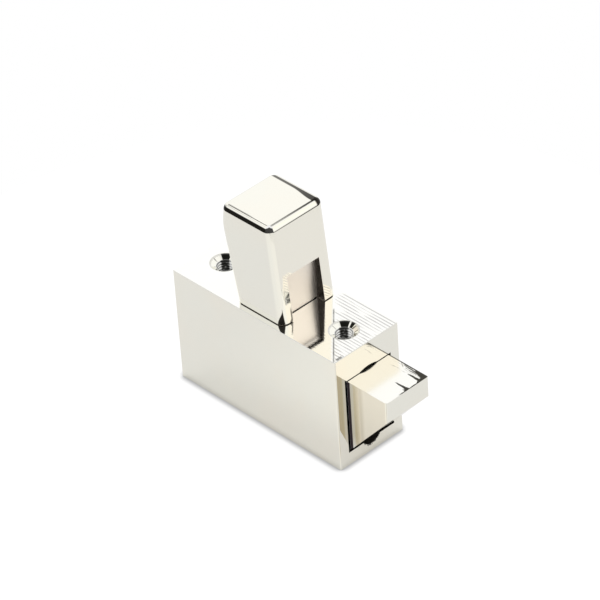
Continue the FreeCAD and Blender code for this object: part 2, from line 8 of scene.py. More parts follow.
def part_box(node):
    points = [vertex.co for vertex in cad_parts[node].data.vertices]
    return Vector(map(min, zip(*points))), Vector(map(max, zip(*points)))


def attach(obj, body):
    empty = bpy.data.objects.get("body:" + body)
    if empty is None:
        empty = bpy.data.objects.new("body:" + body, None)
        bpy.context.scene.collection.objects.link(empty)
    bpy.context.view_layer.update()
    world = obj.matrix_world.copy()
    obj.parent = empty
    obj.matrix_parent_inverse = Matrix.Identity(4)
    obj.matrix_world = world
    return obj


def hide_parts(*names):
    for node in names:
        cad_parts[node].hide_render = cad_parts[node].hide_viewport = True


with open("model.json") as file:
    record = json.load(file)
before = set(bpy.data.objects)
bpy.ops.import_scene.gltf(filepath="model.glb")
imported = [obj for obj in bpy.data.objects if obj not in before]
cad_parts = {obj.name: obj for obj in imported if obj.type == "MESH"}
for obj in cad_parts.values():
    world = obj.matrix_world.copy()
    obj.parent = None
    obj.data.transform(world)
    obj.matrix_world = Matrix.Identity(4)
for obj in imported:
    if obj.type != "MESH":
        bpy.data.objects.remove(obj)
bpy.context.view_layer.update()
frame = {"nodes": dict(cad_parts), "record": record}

bl_info = {
    "name": "Cabinet Latch Lock",
    "version": (1, 0, 0),
    "blender": (4, 5, 0),
    "location": "View3D > Sidebar > Latch Lock",
    "description": "Plates, threads and lights a block-shaped cabinet latch lock",
    "category": "Object",
}

MM = 0.001
MERGE_DISTANCE = 1e-6
FLAT_ANGLE = math.radians(0.5)
SMOOTH_ANGLE = math.radians(28.0)

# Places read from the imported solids
HOUSING_LOW, HOUSING_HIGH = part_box("housing")
BOLT_TIP_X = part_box("bolt")[1].x
POST_LOW, POST_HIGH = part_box("post")
MOUTH_X = HOUSING_HIGH.x
TOP_FACE_Z = HOUSING_HIGH.z
MOUNT = next(mount for mount in frame["record"]["mounts"] if mount["name"] == "mounting_screws")

# In the finishes below, lengths are in metres. A pair of numbers says where a mark starts and where it is
# whole, and three say where it starts, where it ends and how soft both ends are. A noise is given by its
# scale in cells per metre, its detail and, if it is drawn out, its stretch along X, Y and Z. A share is how
# much of a mark shows, and a dullness is the roughness that it adds.

# How soft most edges between two finishes are
SKIN = 0.0001

# The pitch of the tapped holes' thread, cut in the mesh and dark at its roots
THREAD_PITCH = 0.0008

# How squarely a surface faces one way before a finish for that side takes hold
SQUARE_ON = (0.90, 0.98)
TURNED_AHEAD = (0.5, 0.8)

# Mix's colour sockets, which share their names with its other sockets
MIX_FIRST, MIX_SECOND, MIX_RESULT = 6, 7, 2

BLACK = (0.0, 0.0, 0.0)


class PlatingSettings(bpy.types.PropertyGroup):
    colour: bpy.props.FloatVectorProperty(
        name="Nickel colour", description="Colour of the bright nickel plating", subtype="COLOR",
        size=3, min=0.0, max=1.0, default=(0.865, 0.858, 0.79))
    warm_colour: bpy.props.FloatVectorProperty(
        name="Warm nickel colour", description="Colour where the plating is thin and looks warmer",
        subtype="COLOR", size=3, min=0.0, max=1.0, default=(0.90, 0.845, 0.745))
    # Painted shade: the thumb recess's side walls take this near-black colour in place of the shade that falls
    # in them
    shadow_colour: bpy.props.FloatVectorProperty(
        name="Bare recess colour", description="Colour of the rough side walls of the thumb recess",
        subtype="COLOR", size=3, min=0.0, max=1.0, default=(0.022, 0.018, 0.015))
    roughness: bpy.props.FloatProperty(
        name="Roughness", description="Roughness of the polished faces", subtype="FACTOR",
        min=0.0, max=1.0, default=0.045)
    mark_pitch: bpy.props.FloatProperty(
        name="Milling pitch", description="Distance between milling marks on the top face",
        unit="LENGTH", min=0.0002, default=0.00098)
    mark_start: bpy.props.FloatProperty(
        name="Milling start", description="Distance of the milled area's rear end from the mouth",
        unit="LENGTH", min=0.0, default=0.0185)


class ThreadSettings(bpy.types.PropertyGroup):
    pitch: bpy.props.FloatProperty(
        name="Thread pitch", description="Pitch of the two tapped holes", unit="LENGTH",
        min=0.0002, default=THREAD_PITCH)
    depth: bpy.props.FloatProperty(
        name="Thread depth", description="Depth of the thread's groove in the wall", unit="LENGTH",
        min=0.0001, default=0.00044)
    reach: bpy.props.FloatProperty(
        name="Thread reach", description="How far below the top face the thread goes", unit="LENGTH",
        min=0.001, default=0.0056)
    steps: bpy.props.IntProperty(
        name="Steps per turn", description="Segments in one turn of the thread", min=12, default=48)


class StageSettings(bpy.types.PropertyGroup):
    azimuth: bpy.props.FloatProperty(
        name="Azimuth", description="Camera's turn from the housing's near side towards the bolt",
        subtype="ANGLE", default=math.radians(47.85))
    elevation: bpy.props.FloatProperty(
        name="Elevation", description="Camera's angle above the floor", subtype="ANGLE",
        default=math.radians(36.87))
    roll: bpy.props.FloatProperty(
        name="Roll", description="Camera's turn about its own line of sight", subtype="ANGLE",
        default=math.radians(-3.92))
    distance: bpy.props.FloatProperty(
        name="Distance", description="From the housing's bottom centre to the camera", unit="LENGTH",
        default=1.0472)
    aim_right: bpy.props.FloatProperty(
        name="Aim right", description="Shift of the camera to its right", unit="LENGTH", default=0.00223)
    aim_up: bpy.props.FloatProperty(
        name="Aim up", description="Shift of the camera upwards", unit="LENGTH", default=0.02684)
    focal_length: bpy.props.FloatProperty(
        name="Focal length", description="Camera's focal length in millimetres on a 36 mm sensor",
        unit="CAMERA", default=238.45)
    floor_radius: bpy.props.FloatProperty(
        name="Floor radius", description="Radius of the pale floor", unit="LENGTH", default=0.13)
    lamp_power: bpy.props.FloatProperty(
        name="Lamp power", description="Power of the soft lamp above", unit="POWER", default=0.5)


# Values on shader sockets, written as Python expressions
class Value:
    """A shader socket that takes part in Python arithmetic."""

    def __init__(self, shader, socket):
        self.shader = shader
        self.socket = socket

    def math(self, operation, *others):
        return self.shader.math(operation, self, *others)

    def __add__(self, other):
        return self.math("ADD", other)

    __radd__ = __add__

    def __mul__(self, other):
        return self.math("MULTIPLY", other)

    __rmul__ = __mul__

    def __sub__(self, other):
        return self.math("SUBTRACT", other)

    def __rsub__(self, other):
        return self.shader.math("SUBTRACT", other, self)

    def __truediv__(self, other):
        return self.math("DIVIDE", other)

    def __neg__(self):
        return self * -1.0

    def __abs__(self):
        return self.math("ABSOLUTE")

    def fraction(self):
        return self.math("FRACT")

    def clamped(self):
        return self.math("MINIMUM", 1.0).math("MAXIMUM", 0.0)

    def rise(self, low, high):
        """0 below low, 1 above high and smooth between; with low above high it falls instead."""
        ramp = {"interpolation_type": "SMOOTHSTEP"}
        return self.shader.node(
            "ShaderNodeMapRange", ramp, {"Value": self, "From Min": low, "From Max": high}).out()

    def within(self, low, high, soft):
        """1 between low and high, and 0 outside, with edges that are soft wide."""
        return self.rise(low - soft, low + soft) * (1.0 - self.rise(high - soft, high + soft))


class Made:
    """A node that was just made, and the way to its outputs."""

    def __init__(self, shader, node):
        self.shader = shader
        self.node = node

    def out(self, name=0):
        return Value(self.shader, self.node.outputs[name])


class Shader:
    """Builds the node tree of one material or world."""

    def __init__(self, owner):
        self.owner = owner
        owner.use_nodes = True
        self.tree = owner.node_tree
        self.tree.nodes.clear()

    def node(self, kind, settings=None, inputs=()):
        """Makes a node, and sets or links its inputs by name or in their order."""
        made = self.tree.nodes.new(kind)
        for name, value in (settings or {}).items():
            setattr(made, name, value)
        pairs = inputs.items() if isinstance(inputs, dict) else enumerate(inputs)
        for key, value in pairs:
            self.feed(made.inputs[key], value)
        return Made(self, made)

    def feed(self, socket, value):
        if isinstance(value, Value):
            self.tree.links.new(value.socket, socket)
        elif socket.type == "RGBA" and len(value) == 3:
            socket.default_value = (*value, 1.0)
        else:
            socket.default_value = value

    def math(self, operation, *values):
        return self.node("ShaderNodeMath", {"operation": operation}, values).out()

    def split(self, vector):
        """A vector's three parts."""
        parts = self.node("ShaderNodeSeparateXYZ", None, [vector])
        return parts.out("X"), parts.out("Y"), parts.out("Z")

    def place(self):
        """The point on the piece, and its three coordinates in metres."""
        point = self.node("ShaderNodeTexCoord").out("Object")
        return (point, *self.split(point))

    def facing(self):
        """How far the surface faces along X, along Y and up."""
        return self.split(self.node("ShaderNodeNewGeometry").out("Normal"))

    def noise(self, point, scale, detail=3.0, stretch=(1.0, 1.0, 1.0)):
        moved = self.node("ShaderNodeMapping", None, {"Vector": point, "Scale": stretch})
        return self.node(
            "ShaderNodeTexNoise", None, {"Vector": moved.out(), "Scale": scale, "Detail": detail}
        ).out("Fac")

    def spots(self, point, scale):
        return self.node("ShaderNodeTexVoronoi", None, {"Vector": point, "Scale": scale}).out("Distance")

    def blend(self, share, first, second):
        """The first colour, turned into the second by a share from 0 to 1."""
        colours = {"Factor": share, MIX_FIRST: first, MIX_SECOND: second}
        return self.node("ShaderNodeMix", {"data_type": "RGBA"}, colours).out(MIX_RESULT)

    def layered(self, colour, *layers):
        """The colour with each layer's tone laid over it by the layer's share, in order."""
        for share, tone in layers:
            colour = self.blend(share, colour, tone)
        return colour

    def bump(self, height, strength, distance):
        return self.node(
            "ShaderNodeBump", None, {"Height": height, "Strength": strength, "Distance": distance}).out()

    def finish_surface(self, **sockets):
        """The material, with one Principled surface that has these sockets as its output."""
        names = {name.replace("_", " "): value for name, value in sockets.items()}
        surface = self.node("ShaderNodeBsdfPrincipled", None, names)
        self.node("ShaderNodeOutputMaterial", None, {"Surface": surface.out()})
        return self.owner


def level_length(x, y):
    """The length of a level vector, kept above zero so that it can divide."""
    return (x * x + y * y).math("SQRT").math("MAXIMUM", 0.0001)


def towards(x, y, length, turn):
    """How nearly a level vector of this length points along a turn from +X: 1 along it, and 0 square to it."""
    return (x * math.cos(turn) + y * math.sin(turn)) / length


def saw(value, pitch):
    """The distance from the middle of each pitch, from 0 there to half at its ends."""
    return abs((value / pitch).fraction() - 0.5)


def mount_hole_places():
    half = MOUNT["dims"]["spacing_x_mm"] * MM / 2
    middle = MOUNT["pos_m"][0]
    return (middle - half, middle + half)


# The polished plating, its fine height in its bump, and how deep the bump goes
PLATING_CLOUD, PLATING_GRAIN = (55.0, 2.0), (2600.0, 4.0)
PLATING_HAIRLINE = (900.0, 2.0, (0.12, 1.6, 1.6))
CLOUD_EDGE, HAIRLINE_EDGE = (0.35, 0.75), (0.55, 0.8)
CLOUD_WARMTH, CLOUD_DULLNESS, HAIRLINE_DULLNESS = 0.35, 0.03, 0.02
FINE_HEIGHT, HAIRLINE_HEIGHT = 0.04, 0.5
PLATING_BUMP_DEPTH = 0.00008


def polished(shader, point, settings):
    """Colour, roughness and fine height of the polished plating, before any marks."""
    cloud = shader.noise(point, *PLATING_CLOUD)
    grain = shader.noise(point, *PLATING_GRAIN)
    hairline = shader.noise(point, *PLATING_HAIRLINE)
    colour = shader.blend(cloud.rise(*CLOUD_EDGE) * CLOUD_WARMTH, settings.colour, settings.warm_colour)
    roughness = settings.roughness + CLOUD_DULLNESS * cloud
    roughness = roughness + HAIRLINE_DULLNESS * hairline.rise(*HAIRLINE_EDGE)
    return colour, roughness, (grain + HAIRLINE_HEIGHT * hairline) * FINE_HEIGHT


# The housing's top face, painted paler than its sides as a painted highlight, and the milling marks on it
TOP_LAYER = (TOP_FACE_Z - 0.0006, TOP_FACE_Z - 0.0004)
TOP_SHARE, TOP_PALE = 0.7, (0.95, 0.95, 0.93)
MILLING_WANDER, MILLING_SIDE_WANDER, MILLING_END_WANDER = (160.0, 2.0, (0.5, 1.0, 1.0)), 0.00025, 0.004
MILLING_GROOVE = (0.16, 0.47)
MILLING_SPECKS, MILLING_BREAKS = (700.0, 3.0, (0.22, 1.4, 1.0)), (0.30, 0.58)
MILLING_FADE = 0.002
MILLING_INSIDE_DARK_LINE = 0.12
MILLING_SHARE, MILLING_DULLNESS, MILLING_HEIGHT = 0.75, 0.15, -0.7
MILLED_GREY = (0.46, 0.45, 0.45)

# A fine dark line across the top face, where x + y comes to its offset, and a dark spot beside the mouth
DARK_LINE_OFFSET = 0.0182
DARK_LINE_FADE = 0.0005
DARK_LINE_WIDTH = (0.00038, 0.00020)
DARK_LINE_START_X = (0.0132, 0.0142)
DARK_SPOT_BEHIND_MOUTH = (0.0002, 0.0010, 0.0001)
DARK_SPOT_ACROSS = (-0.0103, -0.0083, 0.0003)
DARK_LINE_SHADE, DARK_LINE_SPECKS, DARK_SPOT_SHADE = 0.55, 0.35, 0.8
DARK_LINE_GREY = (0.20, 0.20, 0.19)

# The broken edge round the top face and the countersinks' rims, painted pale and matte as a painted highlight
RIM_TILT = (0.2, 0.9, 0.05)
RIM_LAYER = (TOP_FACE_Z - 0.0003, TOP_FACE_Z - 0.0002)
RIM_PALE = (0.80, 0.79, 0.74)

# The tapped holes: the wall's reach from the hole's axis and below the top face, the turn from +X of its
# darkest side, and the thread's roots as shares of their pitch. The walls are painted matte grey with a painted
# glow, and their darkest side and the thread's roots get painted shade, made patchy by a noise
BORE_RADIUS = (0.0028, 0.0027)
BORE_TOP, BORE_END = (0.0009, 0.0010), (0.0075, 0.0074)
BORE_DARK_TURN = math.radians(138.0)
BORE_DARK_SPREAD = (0.80, 0.93)
THREAD_ROOT = (0.28, 0.16)
THREAD_ROOT_SHADE = 0.72
SHADE_PATCHES, SHADE_PATCH_BREAKS, SHADE_PATCH_SHARE = (1500.0, 3.0), (0.25, 0.5), 0.25
THREAD_DULLNESS, THREAD_GREY = 0.3, (0.55, 0.55, 0.54)
THREAD_GLOW = (0.40, 0.40, 0.39)
HOLE_PAINTED_BLACK = (0.012, 0.012, 0.010)

# The painted dark reflections in the countersinks, shaped as wedges: each one's turn from +X, and the half
# widths where it is whole and ends
CONE_OUTSIDE, CONE_INSIDE = (0.0051, 0.0050), (0.0024, 0.0025)
CONE_TOP, CONE_END = (0.00005, 0.0001), (0.0020, 0.0019)
WEDGES = (
    (math.radians(95.0), math.radians(7.3), math.radians(10.3)),
    (math.radians(132.0), math.radians(19.5), math.radians(21.5)),
)

# The groove in the floor of the bolt's pocket, and the ragged edge under it on the end face, both painted black
# as painted shade
POCKET_FLOOR_Z = 0.0040
FLOOR_GROOVE_HALF = 0.00295
FLOOR_GROOVE_DEPTH = 0.0016
GROOVE_BOTTOM = (0.0020, 0.0022)
GROOVE_CLIMB = (0.03, 0.10)
GROOVE_REAR_X = (0.010, 0.012)
GROOVE_SHADE_RAGS, GROOVE_SHADE_BREAKS, GROOVE_SHADE_SPIKE = (2600.0, 3.0, (1.0, 1.0, 0.12)), (0.42, 0.68), 0.0009
GROOVE_SHADE_BLACK = (0.016, 0.014, 0.012)

RIM_AND_GROOVE_DULLNESS = 0.4
HOUSING_BUMP = 0.35


def make_housing_nickel(settings):
    """Bright nickel with milling marks and a dark line, painted highlights on the top and rims, threaded holes
    with painted shade, reflections and glow, and painted shade in the pocket groove.
    """
    shader = Shader(bpy.data.materials.new("housing_nickel"))
    point, x, y, z = shader.place()
    _, _, up = shader.facing()
    colour, roughness, height = polished(shader, point, settings)
    # The top face's paler plating is a painted highlight
    top = up.rise(*SQUARE_ON) * z.rise(*TOP_LAYER)
    lines, ahead_of_dark_line, dark_line = top_face_marks(shader, point, x, y, settings)
    lines = lines * top
    # The rims are painted pale and matte as a painted highlight
    rim = up.within(*RIM_TILT) * z.rise(*RIM_LAYER)
    # Painted shade, painted reflections and a painted glow in the tapped holes
    bore, dark, wedge = tapped_hole_shading(shader, point, x, y, z)
    # The pocket's groove is painted black as painted shade
    groove_shade = groove_shading(shader, point, x, y, z, up)
    colour = shader.layered(
        colour, (top * TOP_SHARE, TOP_PALE), (lines * MILLING_SHARE * ahead_of_dark_line, MILLED_GREY),
        (dark_line * top, DARK_LINE_GREY), (rim, RIM_PALE), (bore, THREAD_GREY), (groove_shade, GROOVE_SHADE_BLACK),
        ((dark + wedge).clamped(), HOLE_PAINTED_BLACK))
    return shader.finish_surface(
        Base_Color=colour, Metallic=1.0 - (rim + bore + groove_shade).clamped(),
        Roughness=(roughness + MILLING_DULLNESS * lines + RIM_AND_GROOVE_DULLNESS * (rim + groove_shade)
                   + THREAD_DULLNESS * bore),
        Emission_Color=shader.blend(bore * (1.0 - dark), BLACK, THREAD_GLOW), Emission_Strength=1.0,
        Normal=shader.bump(height + MILLING_HEIGHT * lines, HOUSING_BUMP, PLATING_BUMP_DEPTH),
    )


def top_face_marks(shader, point, x, y, settings):
    """Broken milling lines, which side of the dark line they keep to, and the dark line itself with a dark spot.
    """
    wander = shader.noise(point, *MILLING_WANDER)
    broken = shader.noise(point, *MILLING_SPECKS).rise(*MILLING_BREAKS)
    start = MOUTH_X - settings.mark_start
    lines = saw(y + MILLING_SIDE_WANDER * wander, settings.mark_pitch).rise(*MILLING_GROOVE) * broken
    lines = lines * (x + MILLING_END_WANDER * wander).rise(start, start + MILLING_FADE)
    ahead = (x + y).rise(DARK_LINE_OFFSET, DARK_LINE_OFFSET + DARK_LINE_FADE)
    lines = lines * (MILLING_INSIDE_DARK_LINE + (1.0 - MILLING_INSIDE_DARK_LINE) * ahead)
    dark_line = abs(x + y - DARK_LINE_OFFSET).rise(*DARK_LINE_WIDTH) * x.rise(*DARK_LINE_START_X)
    dark_spot = (MOUTH_X - x).within(*DARK_SPOT_BEHIND_MOUTH) * y.within(*DARK_SPOT_ACROSS)
    return lines, ahead, dark_line * (DARK_LINE_SHADE + DARK_LINE_SPECKS * broken) + DARK_SPOT_SHADE * dark_spot


def tapped_hole_shading(shader, point, x, y, z):
    """The tapped holes' walls, painted shade on their dark side and thread roots, and the painted dark
    reflections in the countersinks.
    """
    below = TOP_FACE_Z - z
    root = saw(below, THREAD_PITCH).rise(*THREAD_ROOT)
    patchiness = (1.0 - SHADE_PATCH_SHARE) + SHADE_PATCH_SHARE * shader.noise(point, *SHADE_PATCHES).rise(*SHADE_PATCH_BREAKS)
    walls, shades, wedges = [], [], []
    for centre in mount_hole_places():
        across = x - centre
        level = level_length(across, y)
        wall = level.rise(*BORE_RADIUS) * below.rise(*BORE_TOP) * below.rise(*BORE_END)
        side = towards(across, y, level, BORE_DARK_TURN).rise(*BORE_DARK_SPREAD)
        walls.append(wall)
        shades.append(wall * (side * patchiness + THREAD_ROOT_SHADE * root).clamped())
        cone = level.rise(*CONE_OUTSIDE) * level.rise(*CONE_INSIDE)
        cone = cone * below.rise(*CONE_TOP) * below.rise(*CONE_END) * (1.0 - wall)
        for turn, inner, outer in WEDGES:
            wedges.append(cone * towards(across, y, level, turn).rise(math.cos(outer), math.cos(inner)))
    return sum(walls).clamped(), sum(shades).clamped(), sum(wedges).clamped()


def groove_shading(shader, point, x, y, z, up):
    """The painted shade's mask: 1 in the groove of the pocket's floor, and in ragged spikes below it on the end
    face.
    """
    arc_z = POCKET_FLOOR_Z - FLOOR_GROOVE_DEPTH * (1.0 - y * y / FLOOR_GROOVE_HALF ** 2)
    spikes = shader.noise(point, *GROOVE_SHADE_RAGS).rise(*GROOVE_SHADE_BREAKS) * GROOVE_SHADE_SPIKE
    ragged = (arc_z - z - spikes).rise(SKIN / 2, -SKIN / 2) * x.rise(MOUTH_X - 4 * SKIN, MOUTH_X - 2 * SKIN)
    ragged = ragged * z.rise(POCKET_FLOOR_Z + SKIN / 2, POCKET_FLOOR_Z)
    inside = up.rise(*GROOVE_CLIMB) * z.rise(POCKET_FLOOR_Z - 0.2 * SKIN, POCKET_FLOOR_Z - 0.6 * SKIN)
    inside = inside * x.rise(*GROOVE_REAR_X) * z.rise(*GROOVE_BOTTOM)
    across = abs(y).rise(FLOOR_GROOVE_HALF + SKIN, FLOOR_GROOVE_HALF - SKIN)
    return ((ragged + inside) * across).clamped()


# The bolt's far side, and the painted dark reflections on the nose's top. Across is measured in from the far
# side, along is measured back from the tip, and the slanted zone is along plus a slant times across.
NOSE_FAR_Y = 0.0080
REFLECTION_WAVES, REFLECTION_WOBBLE = (600.0, 3.0), 0.0012
REFLECTION_SLANT, CORNER_SLANT = 1.35, 0.5
CORNER_REFLECTION = (0.0031, 0.0025)
EDGE_REFLECTION_ACROSS, EDGE_REFLECTION_ZONE = (0.00075, 0.00045), (0.0102, 0.0088)
STREAK_LINES, STREAK_BREAKS = (2400.0, 3.0, (0.12, 1.0, 1.0)), (0.43, 0.54)
STREAK_ACROSS, STREAK_ZONE, STREAK_ALONG = (0.0025, 0.0019), (0.0100, 0.0086), (0.0012, 0.0030)
STROKE_ZONE = 0.0100
STROKE_WIDTH, STROKE_ACROSS = (0.00028, 0.00010), (0.0021, 0.0015)
FRONT_REFLECTION_WIDTH, FRONT_REFLECTION_SPREAD, FRONT_REFLECTION_ACROSS = 0.00034, 0.0006, (0.0044, 0.0030)
FRONT_REFLECTION_NEAR_Y = (-0.0032, -0.0016)
PATCH_BREAKS = (0.60, 0.68)
PATCH_ACROSS, PATCH_ALONG = (0.0003, 0.0032, 0.0002), (0.0015, 0.0105, 0.001)
STREAK_SHADE, STROKE_SHADE, PATCH_SHADE = 0.75, 0.55, 0.35
REFLECTION_DULLNESS, REFLECTION_BLACK = 0.1, (0.050, 0.047, 0.038)

# How far each painted reflection's edge follows the wobble
ZONE_WOBBLE, CORNER_WOBBLE, EDGE_WOBBLE, FRONT_WOBBLE, FINGER_WOBBLE = 0.5, 0.6, 0.3, 0.5, 0.35

# The painted reflections that reach back from the front edge: each one's place across, its reach and its half
# width
REFLECTION_FINGERS = (
    (0.0050, 0.0050, 0.00062), (0.0004, 0.0049, 0.00060), (0.0002, 0.0014, 0.0011), (0.0068, 0.0068, 0.0006))
FINGER_CORE, FINGER_FADE, FINGER_TAPER = 0.6, 0.0010, 0.07

# The bolt's far edge with a painted dark reflection, and its near side painted with a warm reflected tone, the
# dark gap's reflection, a pale cool band and an olive reflected band, all measured ahead of the mouth
OUTLINE_TURN, OUTLINE_TILT = (0.25, 0.95, 0.05), (0.15, 0.97, 0.03)
OUTLINE_WIDTH = (0.00082, 0.00062)
OUTLINE_SHARE, OUTLINE_GREY = 0.86, (0.075, 0.070, 0.058)
NEAR_SIDE_TURN = (0.86, 0.98)
SHADED_GAP = (0.00095, 0.00080)
COOL_BAND = (0.0024, 0.0016)
REFLECTED_BAND, REFLECTED_BAND_TURN = (0.0022, 0.0050, 0.0010), (0.0038, 0.0044)
GAP_MATTE_SHARE, GAP_DULLNESS, GAP_REFLECTION_BLACK = 0.97, 0.5, (0.030, 0.017, 0.021)
# Painted highlight on the nose's top; the near side's warm and cool tones are painted reflections
NOSE_PALE, SIDE_WARM, SIDE_COOL = (0.97, 0.965, 0.93), (0.835, 0.785, 0.665), (0.92, 0.93, 0.97)
REFLECTED_BAND_LIGHT, REFLECTED_BAND_DARK = (0.76, 0.71, 0.61), (0.68, 0.62, 0.49)
WARM_LENGTH, WARM_SHARE = 0.004, 0.6
PALE_SHARE, PALE_DULLNESS = 0.6, 0.13
BOLT_BUMP = 0.2


def make_bolt_nickel(settings):
    """Bright nickel with a painted highlight on top, painted dark reflections on the nose and far edge, and
    painted reflected tones on the near side.
    """
    shader = Shader(bpy.data.materials.new("bolt_nickel"))
    point, x, y, _ = shader.place()
    _, side, up = shader.facing()
    colour, roughness, height = polished(shader, point, settings)
    flat = up.rise(*SQUARE_ON)
    # Painted dark reflections on the nose's top, which also dent the bump a little
    dark_reflection = nose_dark_reflections(shader, point, x, y) * flat
    # Painted dark reflection along the far edge
    outline = side.within(*OUTLINE_TURN) * up.within(*OUTLINE_TILT)
    outline = outline + flat * (NOSE_FAR_Y - y).rise(*OUTLINE_WIDTH)
    # The near side is painted with a warm reflected tone, the dark gap's reflection at the mouth, and pale and
    # olive reflected bands
    near_side = (-side).rise(*NEAR_SIDE_TURN)
    outside = x - MOUTH_X
    shaded = near_side * outside.rise(*SHADED_GAP) * x.rise(MOUTH_X - 2 * SKIN, MOUTH_X)
    reflected_band_tone = shader.blend(outside.rise(*REFLECTED_BAND_TURN), REFLECTED_BAND_LIGHT, REFLECTED_BAND_DARK)
    # The nose's top is painted paler as a painted highlight
    colour = shader.layered(
        colour, (x.rise(BOLT_TIP_X - WARM_LENGTH, MOUTH_X) * WARM_SHARE, settings.warm_colour),
        (flat * PALE_SHARE, NOSE_PALE), (near_side, SIDE_WARM),
        (near_side * outside.rise(*COOL_BAND), SIDE_COOL), (near_side * outside.within(*REFLECTED_BAND), reflected_band_tone),
        (shaded, GAP_REFLECTION_BLACK), (outline * OUTLINE_SHARE, OUTLINE_GREY), (dark_reflection, REFLECTION_BLACK))
    return shader.finish_surface(
        Base_Color=colour, Metallic=1.0 - GAP_MATTE_SHARE * shaded,
        Roughness=roughness + PALE_DULLNESS * flat + REFLECTION_DULLNESS * dark_reflection + GAP_DULLNESS * shaded,
        Normal=shader.bump(height - dark_reflection, BOLT_BUMP, PLATING_BUMP_DEPTH),
    )


def nose_dark_reflections(shader, point, x, y):
    """Painted dark reflections on the nose's top: far corner and edge, streaks, a stroke, front edge, fingers
    and patches.
    """
    wobble = (shader.noise(point, *REFLECTION_WAVES) - 0.5) * REFLECTION_WOBBLE
    streak = shader.noise(point, *STREAK_LINES)
    along, across = BOLT_TIP_X - x, NOSE_FAR_Y - y
    zone = along + REFLECTION_SLANT * across + ZONE_WOBBLE * wobble
    corner = (along * CORNER_SLANT + across + CORNER_WOBBLE * wobble).rise(*CORNER_REFLECTION)
    edge = (across + EDGE_WOBBLE * wobble).rise(*EDGE_REFLECTION_ACROSS) * zone.rise(*EDGE_REFLECTION_ZONE)
    streaks = streak.rise(*STREAK_BREAKS) * across.rise(*STREAK_ACROSS) * zone.rise(*STREAK_ZONE)
    stroke = abs(zone - STROKE_ZONE).rise(*STROKE_WIDTH) * across.rise(*STROKE_ACROSS)
    streaks = STREAK_SHADE * streaks * along.rise(*STREAK_ALONG)
    corner = (corner + edge + streaks + STROKE_SHADE * stroke).clamped()
    front_width = FRONT_REFLECTION_WIDTH + FRONT_REFLECTION_SPREAD * across.rise(*FRONT_REFLECTION_ACROSS)
    front = (along + FRONT_WOBBLE * wobble).rise(front_width + SKIN, front_width - SKIN)
    front = front * y.rise(*FRONT_REFLECTION_NEAR_Y)
    fingers = []
    for place, reach, spread in REFLECTION_FINGERS:
        off = abs(y - place + FINGER_WOBBLE * wobble) + FINGER_TAPER * along
        length = (along + wobble).rise(reach, reach - FINGER_FADE)
        fingers.append(off.rise(spread, FINGER_CORE * spread) * length)
    patches = streak.rise(*PATCH_BREAKS) * across.within(*PATCH_ACROSS) * along.within(*PATCH_ALONG)
    return (corner + front + sum(fingers) + PATCH_SHADE * patches).clamped()


# The thumb recess in the post: its near and far walls, its back and its top. Its walls are painted near-black as
# painted shade, and its back is painted pale as a painted highlight
RECESS_NEAR_Y, RECESS_FAR_Y = -0.0060, 0.0054
RECESS_BACK_X = 0.00685
RECESS_TOP_Z = 0.0485
RECESS_SPOT_SCALE, RECESS_SPECKLE = 1900.0, (0.05, 0.30)
RECESS_DIRT = (900.0, 4.0)
RECESS_DUST, WALL_DULLNESS = (0.20, 0.17, 0.14), 0.38
BACK_PALE, BACK_SHARE, BACK_DULLNESS, DIRT_DULLNESS = (0.92, 0.84, 0.76), 0.7, 0.28, 0.1
POST_BUMP, POST_BUMP_DEPTH = 0.3, 0.0001

# The painted dark reflection beside the recess's near wall, a line which widens at the post's foot
SIDE_LINE_WIDTH, SIDE_LINE_SPREAD, SIDE_LINE_START = 0.00058, 0.0007, -0.0002
SIDE_LINE_FOOT = (TOP_FACE_Z + 0.0014, TOP_FACE_Z)
SIDE_LINE_TOP = (TOP_FACE_Z + 0.0050, TOP_FACE_Z + 0.0030)
SIDE_LINE_SHARE, SIDE_LINE_BROWN = 0.85, (0.10, 0.085, 0.070)

# The dark spike, a painted reflection, that rises from the post's foot at its near front edge: how far ahead its
# two sides face at the foot, and how they lean as they rise
SPIKE_TOP = (0.0052, 0.0046)
SPIKE_LEFT, SPIKE_LEFT_LEAN, SPIKE_LEFT_RISE = 0.15, 0.60, (0.0, 0.0045)
SPIKE_RIGHT, SPIKE_RIGHT_LEAN = 0.90, 16.0
SPIKE_LEFT_SOFT, SPIKE_RIGHT_SOFT = 0.06, 0.05
SPIKE_NEAR_TURN = (0.02, 0.05)

# The post's head, whose front face leans back from its foot, and the painted dark reflection beside the top's
# far edge
HEAD_LAYER = (POST_HIGH.z - 0.0022, POST_HIGH.z - 0.0019)
HEAD_FRONT_X = 0.00685
FAR_LINE_FLAT = (0.90, 0.95)
FAR_LINE_START = (0.00120, 0.00135)
FAR_LINE_WIDTH, FAR_LINE_LENGTHWISE, FAR_LINE_SPREAD = 0.0021, 0.0002, 0.0008
FAR_LINE_SPREAD_FROM, FAR_LINE_SOFT = (0.0090, 0.0020), 0.00012
FAR_LINE_SHADE, FAR_LINE_SHADE_GAIN = 0.80, 0.19

# The painted marks on the head's rounded edge, dark reflections and a pale highlight at the near corner: how far
# each faces ahead, faces to its own side and tilts up
FAR_CORNER = ((0.35, 0.55), (0.12, 0.30), (0.12, 0.998, 0.001))
BAND_END_AHEAD, BAND_END_WIDTH, BAND_END_TILT = (0.5, 0.8), (0.0027, 0.0022), (0.12, 0.99, 0.005)
NEAR_CORNER = ((0.25, 0.32), (0.25, 0.32), (0.10, 0.16))
NEAR_WEDGE_DIP, NEAR_WEDGE_TILT = 0.30, (0.64, 0.58)
NEAR_BAND_TURN, NEAR_BAND_TILT = (0.45, 0.60), (0.12, 0.72, 0.02)
NEAR_LINE_TURN, NEAR_LINE_X = (0.85, 0.95), (0.001, -0.003)
FINE_LINE_TILT = (0.955, 0.9995, 0.0005)
HEAD_BLACK = (0.022, 0.020, 0.017)
